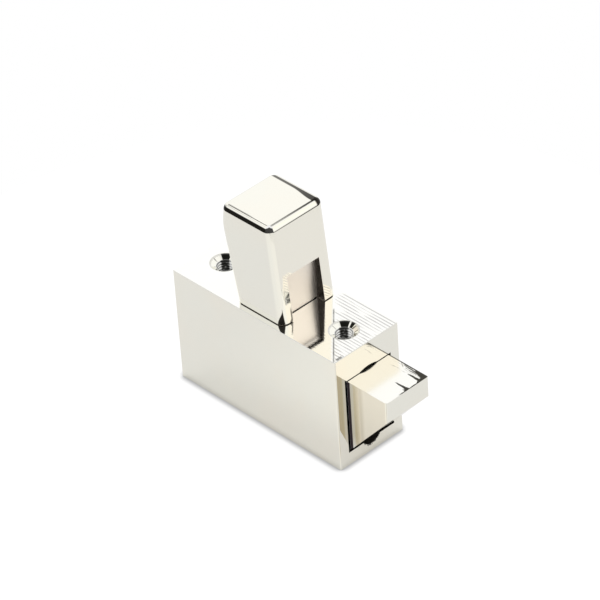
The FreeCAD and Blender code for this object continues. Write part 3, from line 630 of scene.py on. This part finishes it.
# The post's front faces are painted a paler nickel as painted light
FRONT_NICKEL = (0.905, 0.885, 0.80)
CORNER_PALE, CORNER_DULLNESS = (0.93, 0.92, 0.90), 0.4
FAR_CORNER_SHARE, NEAR_LINE_SHARE = 0.95, 0.5

# The two painted dark reflections along the head's front edge: each one's tilt, its least shade, and its gain
# between two places across the head
FRONT_LINE_TURN = (0.85, 0.95)
FRONT_LINES = (
    ((0.925, 0.9995, 0.0005), 0.5, 0.4, (-0.008, 0.006)),
    ((0.12, 0.26, 0.01), 0.72, 0.2, (-0.008, 0.004)),
)


def make_post_nickel(settings):
    """Bright nickel with a rough thumb recess; painted shade and light in the recess and on the front, painted
    reflections and a highlight at the head and foot.
    """
    shader = Shader(bpy.data.materials.new("post_nickel"))
    point, x, y, z = shader.place()
    ahead, side, up = shader.facing()
    colour, roughness, height = polished(shader, point, settings)
    recess = y.within(RECESS_NEAR_Y - SKIN, RECESS_FAR_Y + SKIN, SKIN / 2)
    recess = recess * x.rise(RECESS_BACK_X - 2 * SKIN, RECESS_BACK_X - SKIN)
    recess = recess * z.within(TOP_FACE_Z, RECESS_TOP_Z + SKIN, SKIN / 2)
    # Painted shade on the recess's walls and a painted highlight on its back
    front = ahead.rise(*TURNED_AHEAD)
    walls, back = recess * (1.0 - front), recess * front
    speckle = shader.spots(point, RECESS_SPOT_SCALE).rise(*RECESS_SPECKLE)
    dirt = shader.noise(point, *RECESS_DIRT)
    level = level_length(ahead, side)
    frontward, nearward = ahead / level, -side / level
    # Painted highlight on the head's near corner, and painted dark reflections round the head and at the foot
    near_corner, edge_marks = head_edge_marks(x, y, z, up, frontward, nearward)
    mark = edge_marks + far_edge_line(x, y, z, up) + foot_spike(z, frontward, nearward)
    wall_tone = shader.blend(speckle, RECESS_DUST, settings.shadow_colour)
    # Painted light on the front faces, and a painted dark reflection beside the recess
    colour = shader.layered(
        colour, (back * BACK_SHARE, BACK_PALE), (walls, wall_tone), (front * (1.0 - recess), FRONT_NICKEL),
        (near_corner, CORNER_PALE),
        (recess_side_line(x, y, z) * (1.0 - recess) * SIDE_LINE_SHARE, SIDE_LINE_BROWN),
        (mark.clamped(), HEAD_BLACK))
    return shader.finish_surface(
        Base_Color=colour, Metallic=1.0 - near_corner,
        Roughness=(roughness + WALL_DULLNESS * walls + back * (BACK_DULLNESS + DIRT_DULLNESS * dirt)
                   + CORNER_DULLNESS * near_corner),
        Normal=shader.bump(height + (speckle + dirt) * walls, POST_BUMP, POST_BUMP_DEPTH),
    )


def recess_side_line(x, y, z):
    """The painted dark reflection on the post's front face beside the recess, a line."""
    width = SIDE_LINE_WIDTH + SIDE_LINE_SPREAD * z.rise(*SIDE_LINE_FOOT)
    line = (RECESS_NEAR_Y - y).within(SIDE_LINE_START, width, SKIN)
    return line * x.rise(RECESS_BACK_X + SKIN, RECESS_BACK_X + 2 * SKIN) * z.rise(*SIDE_LINE_TOP)


def foot_spike(z, frontward, nearward):
    """The painted dark reflection, a spike in the rounded near front edge, wide at the foot and narrow at its
    top.
    """
    height = z - TOP_FACE_Z
    left = SPIKE_LEFT + SPIKE_LEFT_LEAN * height.rise(*SPIKE_LEFT_RISE)
    right = SPIKE_RIGHT - SPIKE_RIGHT_LEAN * height
    spike = (frontward - left).rise(0.0, SPIKE_LEFT_SOFT) * (right - frontward).rise(0.0, SPIKE_RIGHT_SOFT)
    return spike * nearward.rise(*SPIKE_NEAR_TURN) * height.rise(*SPIKE_TOP)


def far_edge_line(x, y, z, up):
    """The painted dark reflection on the head's top beside its far edge, wider and darker towards the front."""
    forward = (x - POST_LOW.x) / (POST_HIGH.x - POST_LOW.x)
    from_far = POST_HIGH.y - y
    widening = FAR_LINE_SPREAD * (HEAD_FRONT_X - x).rise(*FAR_LINE_SPREAD_FROM)
    width = FAR_LINE_WIDTH + FAR_LINE_LENGTHWISE * forward + widening
    line = z.rise(*HEAD_LAYER) * up.rise(*FAR_LINE_FLAT) * from_far.rise(*FAR_LINE_START)
    line = line * from_far.rise(width + FAR_LINE_SOFT, width - FAR_LINE_SOFT)
    return line * (FAR_LINE_SHADE + FAR_LINE_SHADE_GAIN * forward)


def head_edge_marks(x, y, z, up, frontward, nearward):
    """The head's near corner, painted pale as a highlight, and the painted dark reflections round its rounded
    edge.
    """
    head = z.rise(*HEAD_LAYER)
    turn, far_turn, tilt = FAR_CORNER
    far_corner = head * frontward.rise(*turn) * (-nearward).rise(*far_turn) * up.within(*tilt)
    band_end = head * frontward.rise(*BAND_END_AHEAD) * (POST_HIGH.y - y).rise(*BAND_END_WIDTH)
    band_end = band_end * up.within(*BAND_END_TILT)
    turn, near_turn, tilt = NEAR_CORNER
    near_corner = head * frontward.rise(*turn) * nearward.rise(*near_turn) * up.rise(*tilt)
    ridge = frontward.math("MINIMUM", nearward) * math.sqrt(2.0)
    near_wedge = near_corner * (up - NEAR_WEDGE_DIP * ridge).rise(*NEAR_WEDGE_TILT)
    near_band = head * nearward.rise(*NEAR_BAND_TURN) * up.within(*NEAR_BAND_TILT) * (1.0 - near_corner)
    near_line = head * nearward.rise(*NEAR_LINE_TURN) * up.within(*FINE_LINE_TILT) * x.rise(*NEAR_LINE_X)
    front_lines = sum(
        up.within(*tilt) * (least + gain * y.rise(*ends)) for tilt, least, gain, ends in FRONT_LINES)
    front_lines = front_lines * frontward.rise(*FRONT_LINE_TURN) * head
    marks = FAR_CORNER_SHARE * far_corner + band_end + near_wedge + near_band + NEAR_LINE_SHARE * near_line
    return near_corner, marks + front_lines


# The steel's grain, its darker shade, and how deep its lines are in the bump
STEEL_GRAIN, STEEL_GRAIN_EDGE, STEEL_GRAIN_SHARE, STEEL_SHADE = (1800.0, 4.0), (0.3, 0.8), 0.4, 0.72
STEEL_ROUGHNESS, STEEL_DULLNESS = 0.22, 0.12
STEEL_GRAIN_HEIGHT, STEEL_BUMP, STEEL_BUMP_DEPTH = 0.2, 0.5, 0.0001


def make_steel(name, colour, axis, pitch):
    """Turned or rolled steel with fine lines along one axis."""
    shader = Shader(bpy.data.materials.new(name))
    point, x, y, z = shader.place()
    line = saw({"X": x, "Y": y, "Z": z}[axis], pitch) * 2.0
    grain = shader.noise(point, *STEEL_GRAIN)
    darker = tuple(STEEL_SHADE * part for part in colour)
    return shader.finish_surface(
        Base_Color=shader.blend(grain.rise(*STEEL_GRAIN_EDGE) * STEEL_GRAIN_SHARE, colour, darker),
        Metallic=1.0, Roughness=STEEL_ROUGHNESS + STEEL_DULLNESS * grain,
        Normal=shader.bump(line + STEEL_GRAIN_HEIGHT * grain, STEEL_BUMP, STEEL_BUMP_DEPTH),
    )


# The moulded parts' clouds and grain, and how much paler the clouds are
MOULDED_CLOUD, MOULDED_GRAIN = (120.0, 2.0), (2400.0, 3.0)
MOULDED_GAIN, MOULDED_LIFT, MOULDED_CLOUD_SHARE = 1.25, 0.01, 0.3
MOULDED_DULLNESS, MOULDED_BUMP = 0.12, 0.4


def make_moulded(name, colour, roughness, bump_depth):
    """Moulded plastic or rubber with a fine spark-eroded grain."""
    shader = Shader(bpy.data.materials.new(name))
    point, _, _, _ = shader.place()
    cloud = shader.noise(point, *MOULDED_CLOUD)
    grain = shader.noise(point, *MOULDED_GRAIN)
    paler = tuple(min(1.0, MOULDED_GAIN * part + MOULDED_LIFT) for part in colour)
    return shader.finish_surface(
        Base_Color=shader.blend(cloud * MOULDED_CLOUD_SHARE, colour, paler),
        Roughness=roughness + MOULDED_DULLNESS * grain, Normal=shader.bump(grain, MOULDED_BUMP, bump_depth),
    )


# The board's faces, tracks and weave
BOARD_FACE = (0.8, 0.95)
TRACK_PITCH, TRACK_EDGE = 0.0012, (0.30, 0.33)
TRACK_AREAS, TRACK_AREA_EDGE = (260.0, 1.0), (0.48, 0.50)
BOARD_WEAVE, WEAVE_DULLNESS, WEAVE_HEIGHT = (1500.0, 2.0), 0.1, 0.2
BOARD_ROUGHNESS, BOARD_BUMP, BOARD_BUMP_DEPTH = 0.34, 0.5, 0.00004
MASK_GREEN, TRACK_GREEN, LAMINATE = (0.012, 0.115, 0.045), (0.03, 0.20, 0.085), (0.42, 0.40, 0.22)

# The coil's wire
WIRE_PITCH, WINDING_CLOUD, WINDING_DULLNESS = 0.00022, (400.0, 2.0), 0.15
WINDING_METAL, WINDING_ROUGHNESS, WINDING_BUMP, WINDING_BUMP_DEPTH = 0.85, 0.3, 0.8, 0.00008
WINDING_DARK, WINDING_LIGHT = (0.46, 0.16, 0.055), (0.62, 0.26, 0.10)


def make_board_green():
    """Solder mask over copper tracks, with the bare laminate at the board's edges."""
    shader = Shader(bpy.data.materials.new("board_green"))
    point, x, _, z = shader.place()
    _, side, _ = shader.facing()
    face = abs(side).rise(*BOARD_FACE)
    tracks = saw(x + z, TRACK_PITCH).rise(*TRACK_EDGE)
    tracks = tracks * shader.noise(point, *TRACK_AREAS).rise(*TRACK_AREA_EDGE)
    weave = shader.noise(point, *BOARD_WEAVE)
    mask = shader.blend(tracks, MASK_GREEN, TRACK_GREEN)
    return shader.finish_surface(
        Base_Color=shader.blend(1.0 - face, mask, LAMINATE), Roughness=BOARD_ROUGHNESS + WEAVE_DULLNESS * weave,
        Normal=shader.bump(tracks + WEAVE_HEIGHT * weave, BOARD_BUMP, BOARD_BUMP_DEPTH),
    )


def make_coil_wrap():
    """Enamelled winding: fine turns stacked along the coil's axis."""
    shader = Shader(bpy.data.materials.new("coil_wrap"))
    point, _, _, z = shader.place()
    turn = saw(z, WIRE_PITCH) * 2.0
    cloud = shader.noise(point, *WINDING_CLOUD)
    return shader.finish_surface(
        Base_Color=shader.blend(cloud, WINDING_DARK, WINDING_LIGHT), Metallic=WINDING_METAL,
        Roughness=WINDING_ROUGHNESS + WINDING_DULLNESS * cloud,
        Normal=shader.bump(1.0 - turn * turn, WINDING_BUMP, WINDING_BUMP_DEPTH),
    )


# Edit-mode helpers
def deselect_all():
    bpy.ops.object.select_all(action="DESELECT")


def make_active(piece):
    deselect_all()
    piece.select_set(True)
    bpy.context.view_layer.objects.active = piece


def copy_of_node(node, name):
    """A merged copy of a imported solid's mesh, with one face for each flat side."""
    piece = bpy.data.objects.new(name, frame["nodes"][node].data.copy())
    bpy.context.scene.collection.objects.link(piece)
    make_active(piece)
    bpy.ops.mesh.customdata_custom_splitnormals_clear()
    bpy.ops.object.mode_set(mode="EDIT")
    bpy.ops.mesh.select_all(action="SELECT")
    bpy.ops.mesh.remove_doubles(threshold=MERGE_DISTANCE)
    bpy.ops.mesh.dissolve_limited(angle_limit=FLAT_ANGLE)
    bpy.ops.object.mode_set(mode="OBJECT")
    piece.data.materials.clear()
    return piece


def apply_modifier(piece, kind, **settings):
    make_active(piece)
    modifier = piece.modifiers.new(kind.lower(), kind)
    for name, value in settings.items():
        setattr(modifier, name, value)
    bpy.ops.object.modifier_apply(modifier=modifier.name)


def smooth(piece):
    """Round faces shade smoothly while flat ones keep their own direction."""
    make_active(piece)
    bpy.ops.object.shade_smooth_by_angle(angle=SMOOTH_ANGLE)
    apply_modifier(piece, "WEIGHTED_NORMAL", keep_sharp=True, weight=100)


def dress(piece, material, slot, body, *nodes):
    piece.data.materials.clear()
    piece.data.materials.append(material)
    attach(piece, body)
    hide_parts(*nodes)


def paint_nodes(names, material):
    for name in names:
        for slot in frame["nodes"][name].material_slots:
            slot.material = material


def cut_thread(housing, centre_x, settings):
    """Cuts a helical groove with a triangular section into one tapped hole's wall."""
    bore = MOUNT["dims"]["hole_r_mm"] * MM
    bottom = TOP_FACE_Z - settings.reach
    turns = math.ceil((settings.reach + settings.pitch) / settings.pitch)
    deselect_all()
    bpy.ops.mesh.primitive_circle_add(
        vertices=3, radius=settings.depth, fill_type="NOTHING",
        location=(bore, 0.0, 0.0), rotation=(math.pi / 2, math.pi / 2, 0.0))
    cutter = bpy.context.active_object
    bpy.ops.object.transform_apply(location=True, rotation=True, scale=True)
    apply_modifier(
        cutter, "SCREW", axis="Z", screw_offset=settings.pitch, iterations=turns,
        steps=settings.steps, render_steps=settings.steps, use_normal_calculate=False)
    bpy.ops.object.mode_set(mode="EDIT")
    bpy.ops.mesh.select_all(action="SELECT")
    bpy.ops.mesh.remove_doubles(threshold=MERGE_DISTANCE)
    bpy.ops.mesh.select_all(action="DESELECT")
    bpy.ops.mesh.select_non_manifold()
    bpy.ops.mesh.fill()
    bpy.ops.mesh.select_all(action="SELECT")
    bpy.ops.mesh.normals_make_consistent(inside=False)
    bpy.ops.object.mode_set(mode="OBJECT")
    cutter.location = (centre_x, 0.0, bottom)
    make_active(cutter)
    bpy.ops.object.transform_apply(location=True, rotation=True, scale=True)
    apply_modifier(housing, "BOOLEAN", operation="DIFFERENCE", object=cutter, solver="EXACT")
    bpy.data.objects.remove(cutter)


class LOCK_OT_housing(bpy.types.Operator):
    """Make the plated housing with its two threaded holes"""
    bl_idname = "latch_lock.housing"
    bl_label = "Housing"

    def execute(self, context):
        piece = copy_of_node("housing", "housing_shell")
        for place in mount_hole_places():
            cut_thread(piece, place, context.scene.lock_thread)
        smooth(piece)
        dress(piece, make_housing_nickel(context.scene.lock_plating), "bright_nickel", "case", "housing")
        return {"FINISHED"}


class LOCK_OT_bolt(bpy.types.Operator):
    """Make the plated bolt"""
    bl_idname = "latch_lock.bolt"
    bl_label = "Bolt"

    def execute(self, context):
        piece = copy_of_node("bolt", "latch_bolt")
        smooth(piece)
        dress(piece, make_bolt_nickel(context.scene.lock_plating), "bright_nickel", "latch", "bolt")
        return {"FINISHED"}


class LOCK_OT_post(bpy.types.Operator):
    """Make the plated thumb post"""
    bl_idname = "latch_lock.post"
    bl_label = "Thumb post"

    def execute(self, context):
        piece = copy_of_node("post", "thumb_post")
        smooth(piece)
        dress(piece, make_post_nickel(context.scene.lock_plating), "bright_nickel", "latch", "post")
        return {"FINISHED"}


# Each steel finish: its material's name, colour, the axis and pitch of its lines, and the nodes that it covers
ZINC = (0.62, 0.63, 0.64)
STEEL_FINISHES = (
    ("screw_steel", ZINC, "Z", 0.0004, ("cover_screws", "solenoid_screws", "post_screws")),
    ("board_screw_steel", ZINC, "Y", 0.00035, ("board_screws",)),
    ("spring_steel", (0.55, 0.55, 0.54), "X", 0.0011, ("return_springs", "guide_rods", "spring_plate")),
    ("soft_iron", (0.5, 0.5, 0.5), "Z", 0.0009,
     ("solenoid_frame", "solenoid_core", "plunger", "plunger_spring")),
    ("cover_nickel", (0.74, 0.735, 0.70), "X", 0.0016, ("base_cover",)),
    ("magnet_metal", (0.45, 0.46, 0.48), "Z", 0.0007, ("magnet",)),
    ("capacitor_can", (0.66, 0.67, 0.70), "Y", 0.0012, ("capacitor",)),
)

# Each moulded finish: its material's name, colour, roughness, its grain's depth, and the nodes that it covers
MOULDED_FINISHES = (
    ("glide_plastic", (0.11, 0.095, 0.08), 0.5, 0.00003, ("foot_glide",)),
    ("chip_plastic", (0.018, 0.018, 0.019), 0.42, 0.00003, ("hall_sensor", "driver_chip")),
    ("bobbin_plastic", (0.80, 0.79, 0.74), 0.45, 0.00003, ("solenoid_bobbin",)),
    ("terminal_green", (0.03, 0.30, 0.10), 0.4, 0.00003, ("wire_terminal",)),
    ("rubber", (0.014, 0.014, 0.014), 0.62, 0.00006, ("wire_grommet", "bumper")),
)


class LOCK_OT_hardware(bpy.types.Operator):
    """Give the screws, springs, rods and steel parts their turned or drawn finish"""
    bl_idname = "latch_lock.hardware"
    bl_label = "Screws and springs"

    def execute(self, context):
        for *finish, nodes in STEEL_FINISHES:
            paint_nodes(nodes, make_steel(*finish))
        return {"FINISHED"}


class LOCK_OT_insulation(bpy.types.Operator):
    """Give the plastic, rubber, winding and board parts their finish"""
    bl_idname = "latch_lock.insulation"
    bl_label = "Plastic, rubber and board"

    def execute(self, context):
        for *finish, nodes in MOULDED_FINISHES:
            paint_nodes(nodes, make_moulded(*finish))
        paint_nodes(("circuit_board",), make_board_green())
        paint_nodes(("solenoid_coil",), make_coil_wrap())
        return {"FINISHED"}


# Parts of the studio that the polished metal mirrors: centre and half width of the azimuth in degrees, then
# the lowest and highest elevation in degrees. A part is whole over its core's share of the half width.
DARK_GAP = (135.0, 70.0, 47.0, 50.5)
GREY_WALL = (250.0, 80.0, -34.0, 34.0)
WARM_PANEL = (42.0, 34.0, 24.0, 46.0)
PART_CORE = 0.8
GAP_SOFT, WALL_SOFT = 1.5, 12.0
WALL_SHARE, OVERHEAD_SHARE = 0.75, 0.55
HORIZON, ZENITH = (-6.0, 1.0), (64.0, 84.0)
WORLD_STRENGTH = 0.85
WHITE = (1.0, 1.0, 1.0)
MIRRORED_FLOOR, MIRRORED_WHITE = (0.86, 0.855, 0.84), (1.12, 1.12, 1.12)
MIRRORED_WARM, MIRRORED_GREY = (1.21, 1.15, 1.07), (0.42, 0.42, 0.41)
MIRRORED_DARK = (0.025, 0.022, 0.018)


def studio_part(x, y, elevation, part, soft):
    """1 in the directions of one part of the studio."""
    azimuth, half_width, low, high = part
    ahead = towards(x, y, level_length(x, y), math.radians(azimuth))
    edge = math.cos(math.radians(half_width))
    inner = math.cos(math.radians(half_width * PART_CORE))
    return ahead.rise(edge, inner) * elevation.within(low, high, soft)


def make_studio_world():
    """White all round; polished metal also mirrors a warm panel, grey to one side and above, and a dark gap."""
    shader = Shader(bpy.data.worlds.new("white_studio"))
    x, y, z = shader.split(shader.node("ShaderNodeTexCoord").out("Generated"))
    elevation = z.math("ARCSINE") * (180.0 / math.pi)
    wall = studio_part(x, y, elevation, GREY_WALL, WALL_SOFT) * WALL_SHARE
    wall = wall + elevation.rise(*ZENITH) * OVERHEAD_SHARE
    mirrored = shader.layered(
        shader.blend(elevation.rise(*HORIZON), MIRRORED_FLOOR, MIRRORED_WHITE),
        (studio_part(x, y, elevation, WARM_PANEL, GAP_SOFT), MIRRORED_WARM),
        (wall.clamped(), MIRRORED_GREY),
        (studio_part(x, y, elevation, DARK_GAP, GAP_SOFT).clamped(), MIRRORED_DARK))
    rays = shader.node("ShaderNodeLightPath")
    colour = shader.blend(rays.out("Is Glossy Ray"), (WORLD_STRENGTH,) * 3, mirrored)
    colour = shader.blend(rays.out("Is Camera Ray"), colour, WHITE)
    background = shader.node("ShaderNodeBackground", None, {"Color": colour, "Strength": 1.0})
    shader.node("ShaderNodeOutputWorld", None, {"Surface": background.out()})
    bpy.context.scene.world = shader.owner


# The floor: how far the shadow under the housing reaches, and what is seen and mirrored there and in the open
CONTACT_SAMPLES, CONTACT_REACH, CONTACT_SHARE = 16, 0.0024, (0.42, 1.0)
SEEN_CONTACT, SEEN_FLOOR = (0.36, 0.36, 0.365), (0.955, 0.955, 0.955)
FLOOR_MIRROR_CONTACT = (0.20, 0.195, 0.19)
FLOOR_MIRROR_DIM, FLOOR_MIRROR_BRIGHT = (0.40, 0.393, 0.388), (0.50, 0.493, 0.475)
FLOOR_BRIGHT_X, FLOOR_BRIGHT_Y = (-0.040, 0.010), (-0.014, -0.032)
FLOOR_PATCHES, MOTTLE_SHARE = (30.0, 2.0), 0.1
FLOOR_PALE, FLOOR_MOTTLE, FLOOR_SEEN_BASE = (0.5, 0.5, 0.5), (0.48, 0.48, 0.48), (0.12, 0.12, 0.12)

# A darker card on the floor ahead of the bolt, which the bolt's near side and the pocket mirror
CARD_Y = -0.0075
CARD_ALONG, CARD_ACROSS = (0.741, -0.671), (0.671, 0.741)
CARD_LENGTH, CARD_WIDTH = (0.008, 0.052, 0.004), (-0.0024, 0.0036, 0.0009)
CARD_GLOW, CARD_BASE = (0.365, 0.345, 0.293), (0.29, 0.265, 0.21)

# A brighter card on the floor, mirrored by the housing's front upright edge: its turn from +X, spread and reach
EDGE_CARD_TURN, EDGE_CARD_SPREAD = math.radians(305.0), math.radians(22.0)
EDGE_CARD_SOFT = 0.03
EDGE_CARD_REACH = (0.040, 0.032)
EDGE_CARD_GLOW = (0.60, 0.58, 0.55)


def make_floor_paint():
    """White floor with a soft shadow where the housing stands, and cards that only polished metal mirrors."""
    shader = Shader(bpy.data.materials.new("floor_paint"))
    point, x, y, _ = shader.place()
    mottle = shader.noise(point, *FLOOR_PATCHES)
    glossy = shader.node("ShaderNodeLightPath").out("Is Glossy Ray")
    contact = shader.node(
        "ShaderNodeAmbientOcclusion", {"samples": CONTACT_SAMPLES}, {"Distance": CONTACT_REACH}
    ).out("AO").rise(*CONTACT_SHARE)
    ahead, aside, from_card = x - MOUTH_X, y - HOUSING_LOW.y, y - CARD_Y
    along = ahead * CARD_ALONG[0] + from_card * CARD_ALONG[1]
    across = ahead * CARD_ACROSS[0] + from_card * CARD_ACROSS[1]
    card = across.within(*CARD_WIDTH) * along.within(*CARD_LENGTH) * glossy
    reach = level_length(ahead, aside)
    spread = math.cos(EDGE_CARD_SPREAD)
    edge_card = towards(ahead, aside, reach, EDGE_CARD_TURN).rise(spread, spread + EDGE_CARD_SOFT)
    mirrored = shader.layered(
        shader.blend(x.rise(*FLOOR_BRIGHT_X) * y.rise(*FLOOR_BRIGHT_Y), FLOOR_MIRROR_DIM, FLOOR_MIRROR_BRIGHT),
        (edge_card * reach.rise(*EDGE_CARD_REACH), EDGE_CARD_GLOW), (card, CARD_GLOW))
    mirrored = shader.blend(contact, FLOOR_MIRROR_CONTACT, mirrored)
    base = shader.blend(glossy, FLOOR_SEEN_BASE, shader.blend(mottle * MOTTLE_SHARE, FLOOR_PALE, FLOOR_MOTTLE))
    seen = shader.blend(contact, SEEN_CONTACT, SEEN_FLOOR)
    return shader.finish_surface(
        Base_Color=shader.blend(card, base, CARD_BASE), Roughness=1.0, Specular_IOR_Level=0.0,
        Emission_Color=shader.blend(glossy, seen, mirrored), Emission_Strength=1.0,
    )


# The soft lamp, the floor's outline and the camera
LAMP_PLACE = (-0.18, 0.12, 0.55)
LAMP_SIZE = 0.4
FLOOR_SIDES = 96
SENSOR_WIDTH = 36.0
CLIP_NEAR, CLIP_FAR = 0.05, 20.0


class LOCK_OT_stage(bpy.types.Operator):
    """Make the floor, the soft lamp, the white studio and the camera"""
    bl_idname = "latch_lock.stage"
    bl_label = "Stage"

    def execute(self, context):
        settings = context.scene.lock_stage
        deselect_all()
        bpy.ops.mesh.primitive_circle_add(
            vertices=FLOOR_SIDES, radius=settings.floor_radius, fill_type="NGON", location=(0.0, 0.0, 0.0))
        floor = context.active_object
        floor.name = "floor"
        floor.data.materials.append(make_floor_paint())
        make_studio_world()
        bpy.ops.object.light_add(type="AREA", location=LAMP_PLACE)
        lamp = context.active_object
        lamp.data.size = LAMP_SIZE
        lamp.data.energy = settings.lamp_power
        lamp.rotation_euler = Vector(LAMP_PLACE).to_track_quat("Z", "Y").to_euler()
        lamp.visible_glossy = False
        self.add_camera(context, settings)
        context.scene.view_settings.view_transform = "Standard"
        return {"FINISHED"}

    def add_camera(self, context, settings):
        """The camera's axes come from its azimuth and elevation, then turn by the roll."""
        turn, tilt, roll = settings.azimuth, settings.elevation, settings.roll
        back = Vector((
            math.sin(turn) * math.cos(tilt), -math.cos(turn) * math.cos(tilt), math.sin(tilt)))
        level_right = Vector((math.cos(turn), math.sin(turn), 0.0))
        level_up = back.cross(level_right)
        right = math.cos(roll) * level_right + math.sin(roll) * level_up
        up = back.cross(right)
        place = back * settings.distance + right * settings.aim_right + up * settings.aim_up
        bpy.ops.object.camera_add(location=place)
        camera = context.active_object
        camera.rotation_mode = "QUATERNION"
        axes = Matrix((right, up, back)).transposed()
        camera.rotation_quaternion = axes.to_quaternion()
        camera.data.sensor_width = SENSOR_WIDTH
        camera.data.lens = settings.focal_length
        camera.data.clip_start = CLIP_NEAR
        camera.data.clip_end = CLIP_FAR
        context.scene.camera = camera


OPERATORS = (LOCK_OT_housing, LOCK_OT_bolt, LOCK_OT_post, LOCK_OT_hardware, LOCK_OT_insulation, LOCK_OT_stage)
SETTINGS = {"lock_plating": PlatingSettings, "lock_thread": ThreadSettings, "lock_stage": StageSettings}


class LOCK_PT_panel(bpy.types.Panel):
    """Lists the lock's settings and the operators that make its pieces"""
    bl_idname = "LOCK_PT_panel"
    bl_label = "Latch Lock"
    bl_space_type = "VIEW_3D"
    bl_region_type = "UI"
    bl_category = "Latch Lock"

    def draw(self, context):
        for operator in OPERATORS:
            self.layout.operator(operator.bl_idname)
        for name, group in SETTINGS.items():
            box = self.layout.box()
            for size in group.__annotations__:
                box.prop(getattr(context.scene, name), size)


CLASSES = (*SETTINGS.values(), *OPERATORS, LOCK_PT_panel)


def register():
    for made in CLASSES:
        bpy.utils.register_class(made)
    for name, group in SETTINGS.items():
        setattr(bpy.types.Scene, name, bpy.props.PointerProperty(type=group))


def unregister():
    for name in SETTINGS:
        delattr(bpy.types.Scene, name)
    for made in reversed(CLASSES):
        bpy.utils.unregister_class(made)


def main():
    register()
    for made in OPERATORS:
        group, name = made.bl_idname.split(".")
        getattr(getattr(bpy.ops, group), name)()


if __name__ == "__main__":
    main()
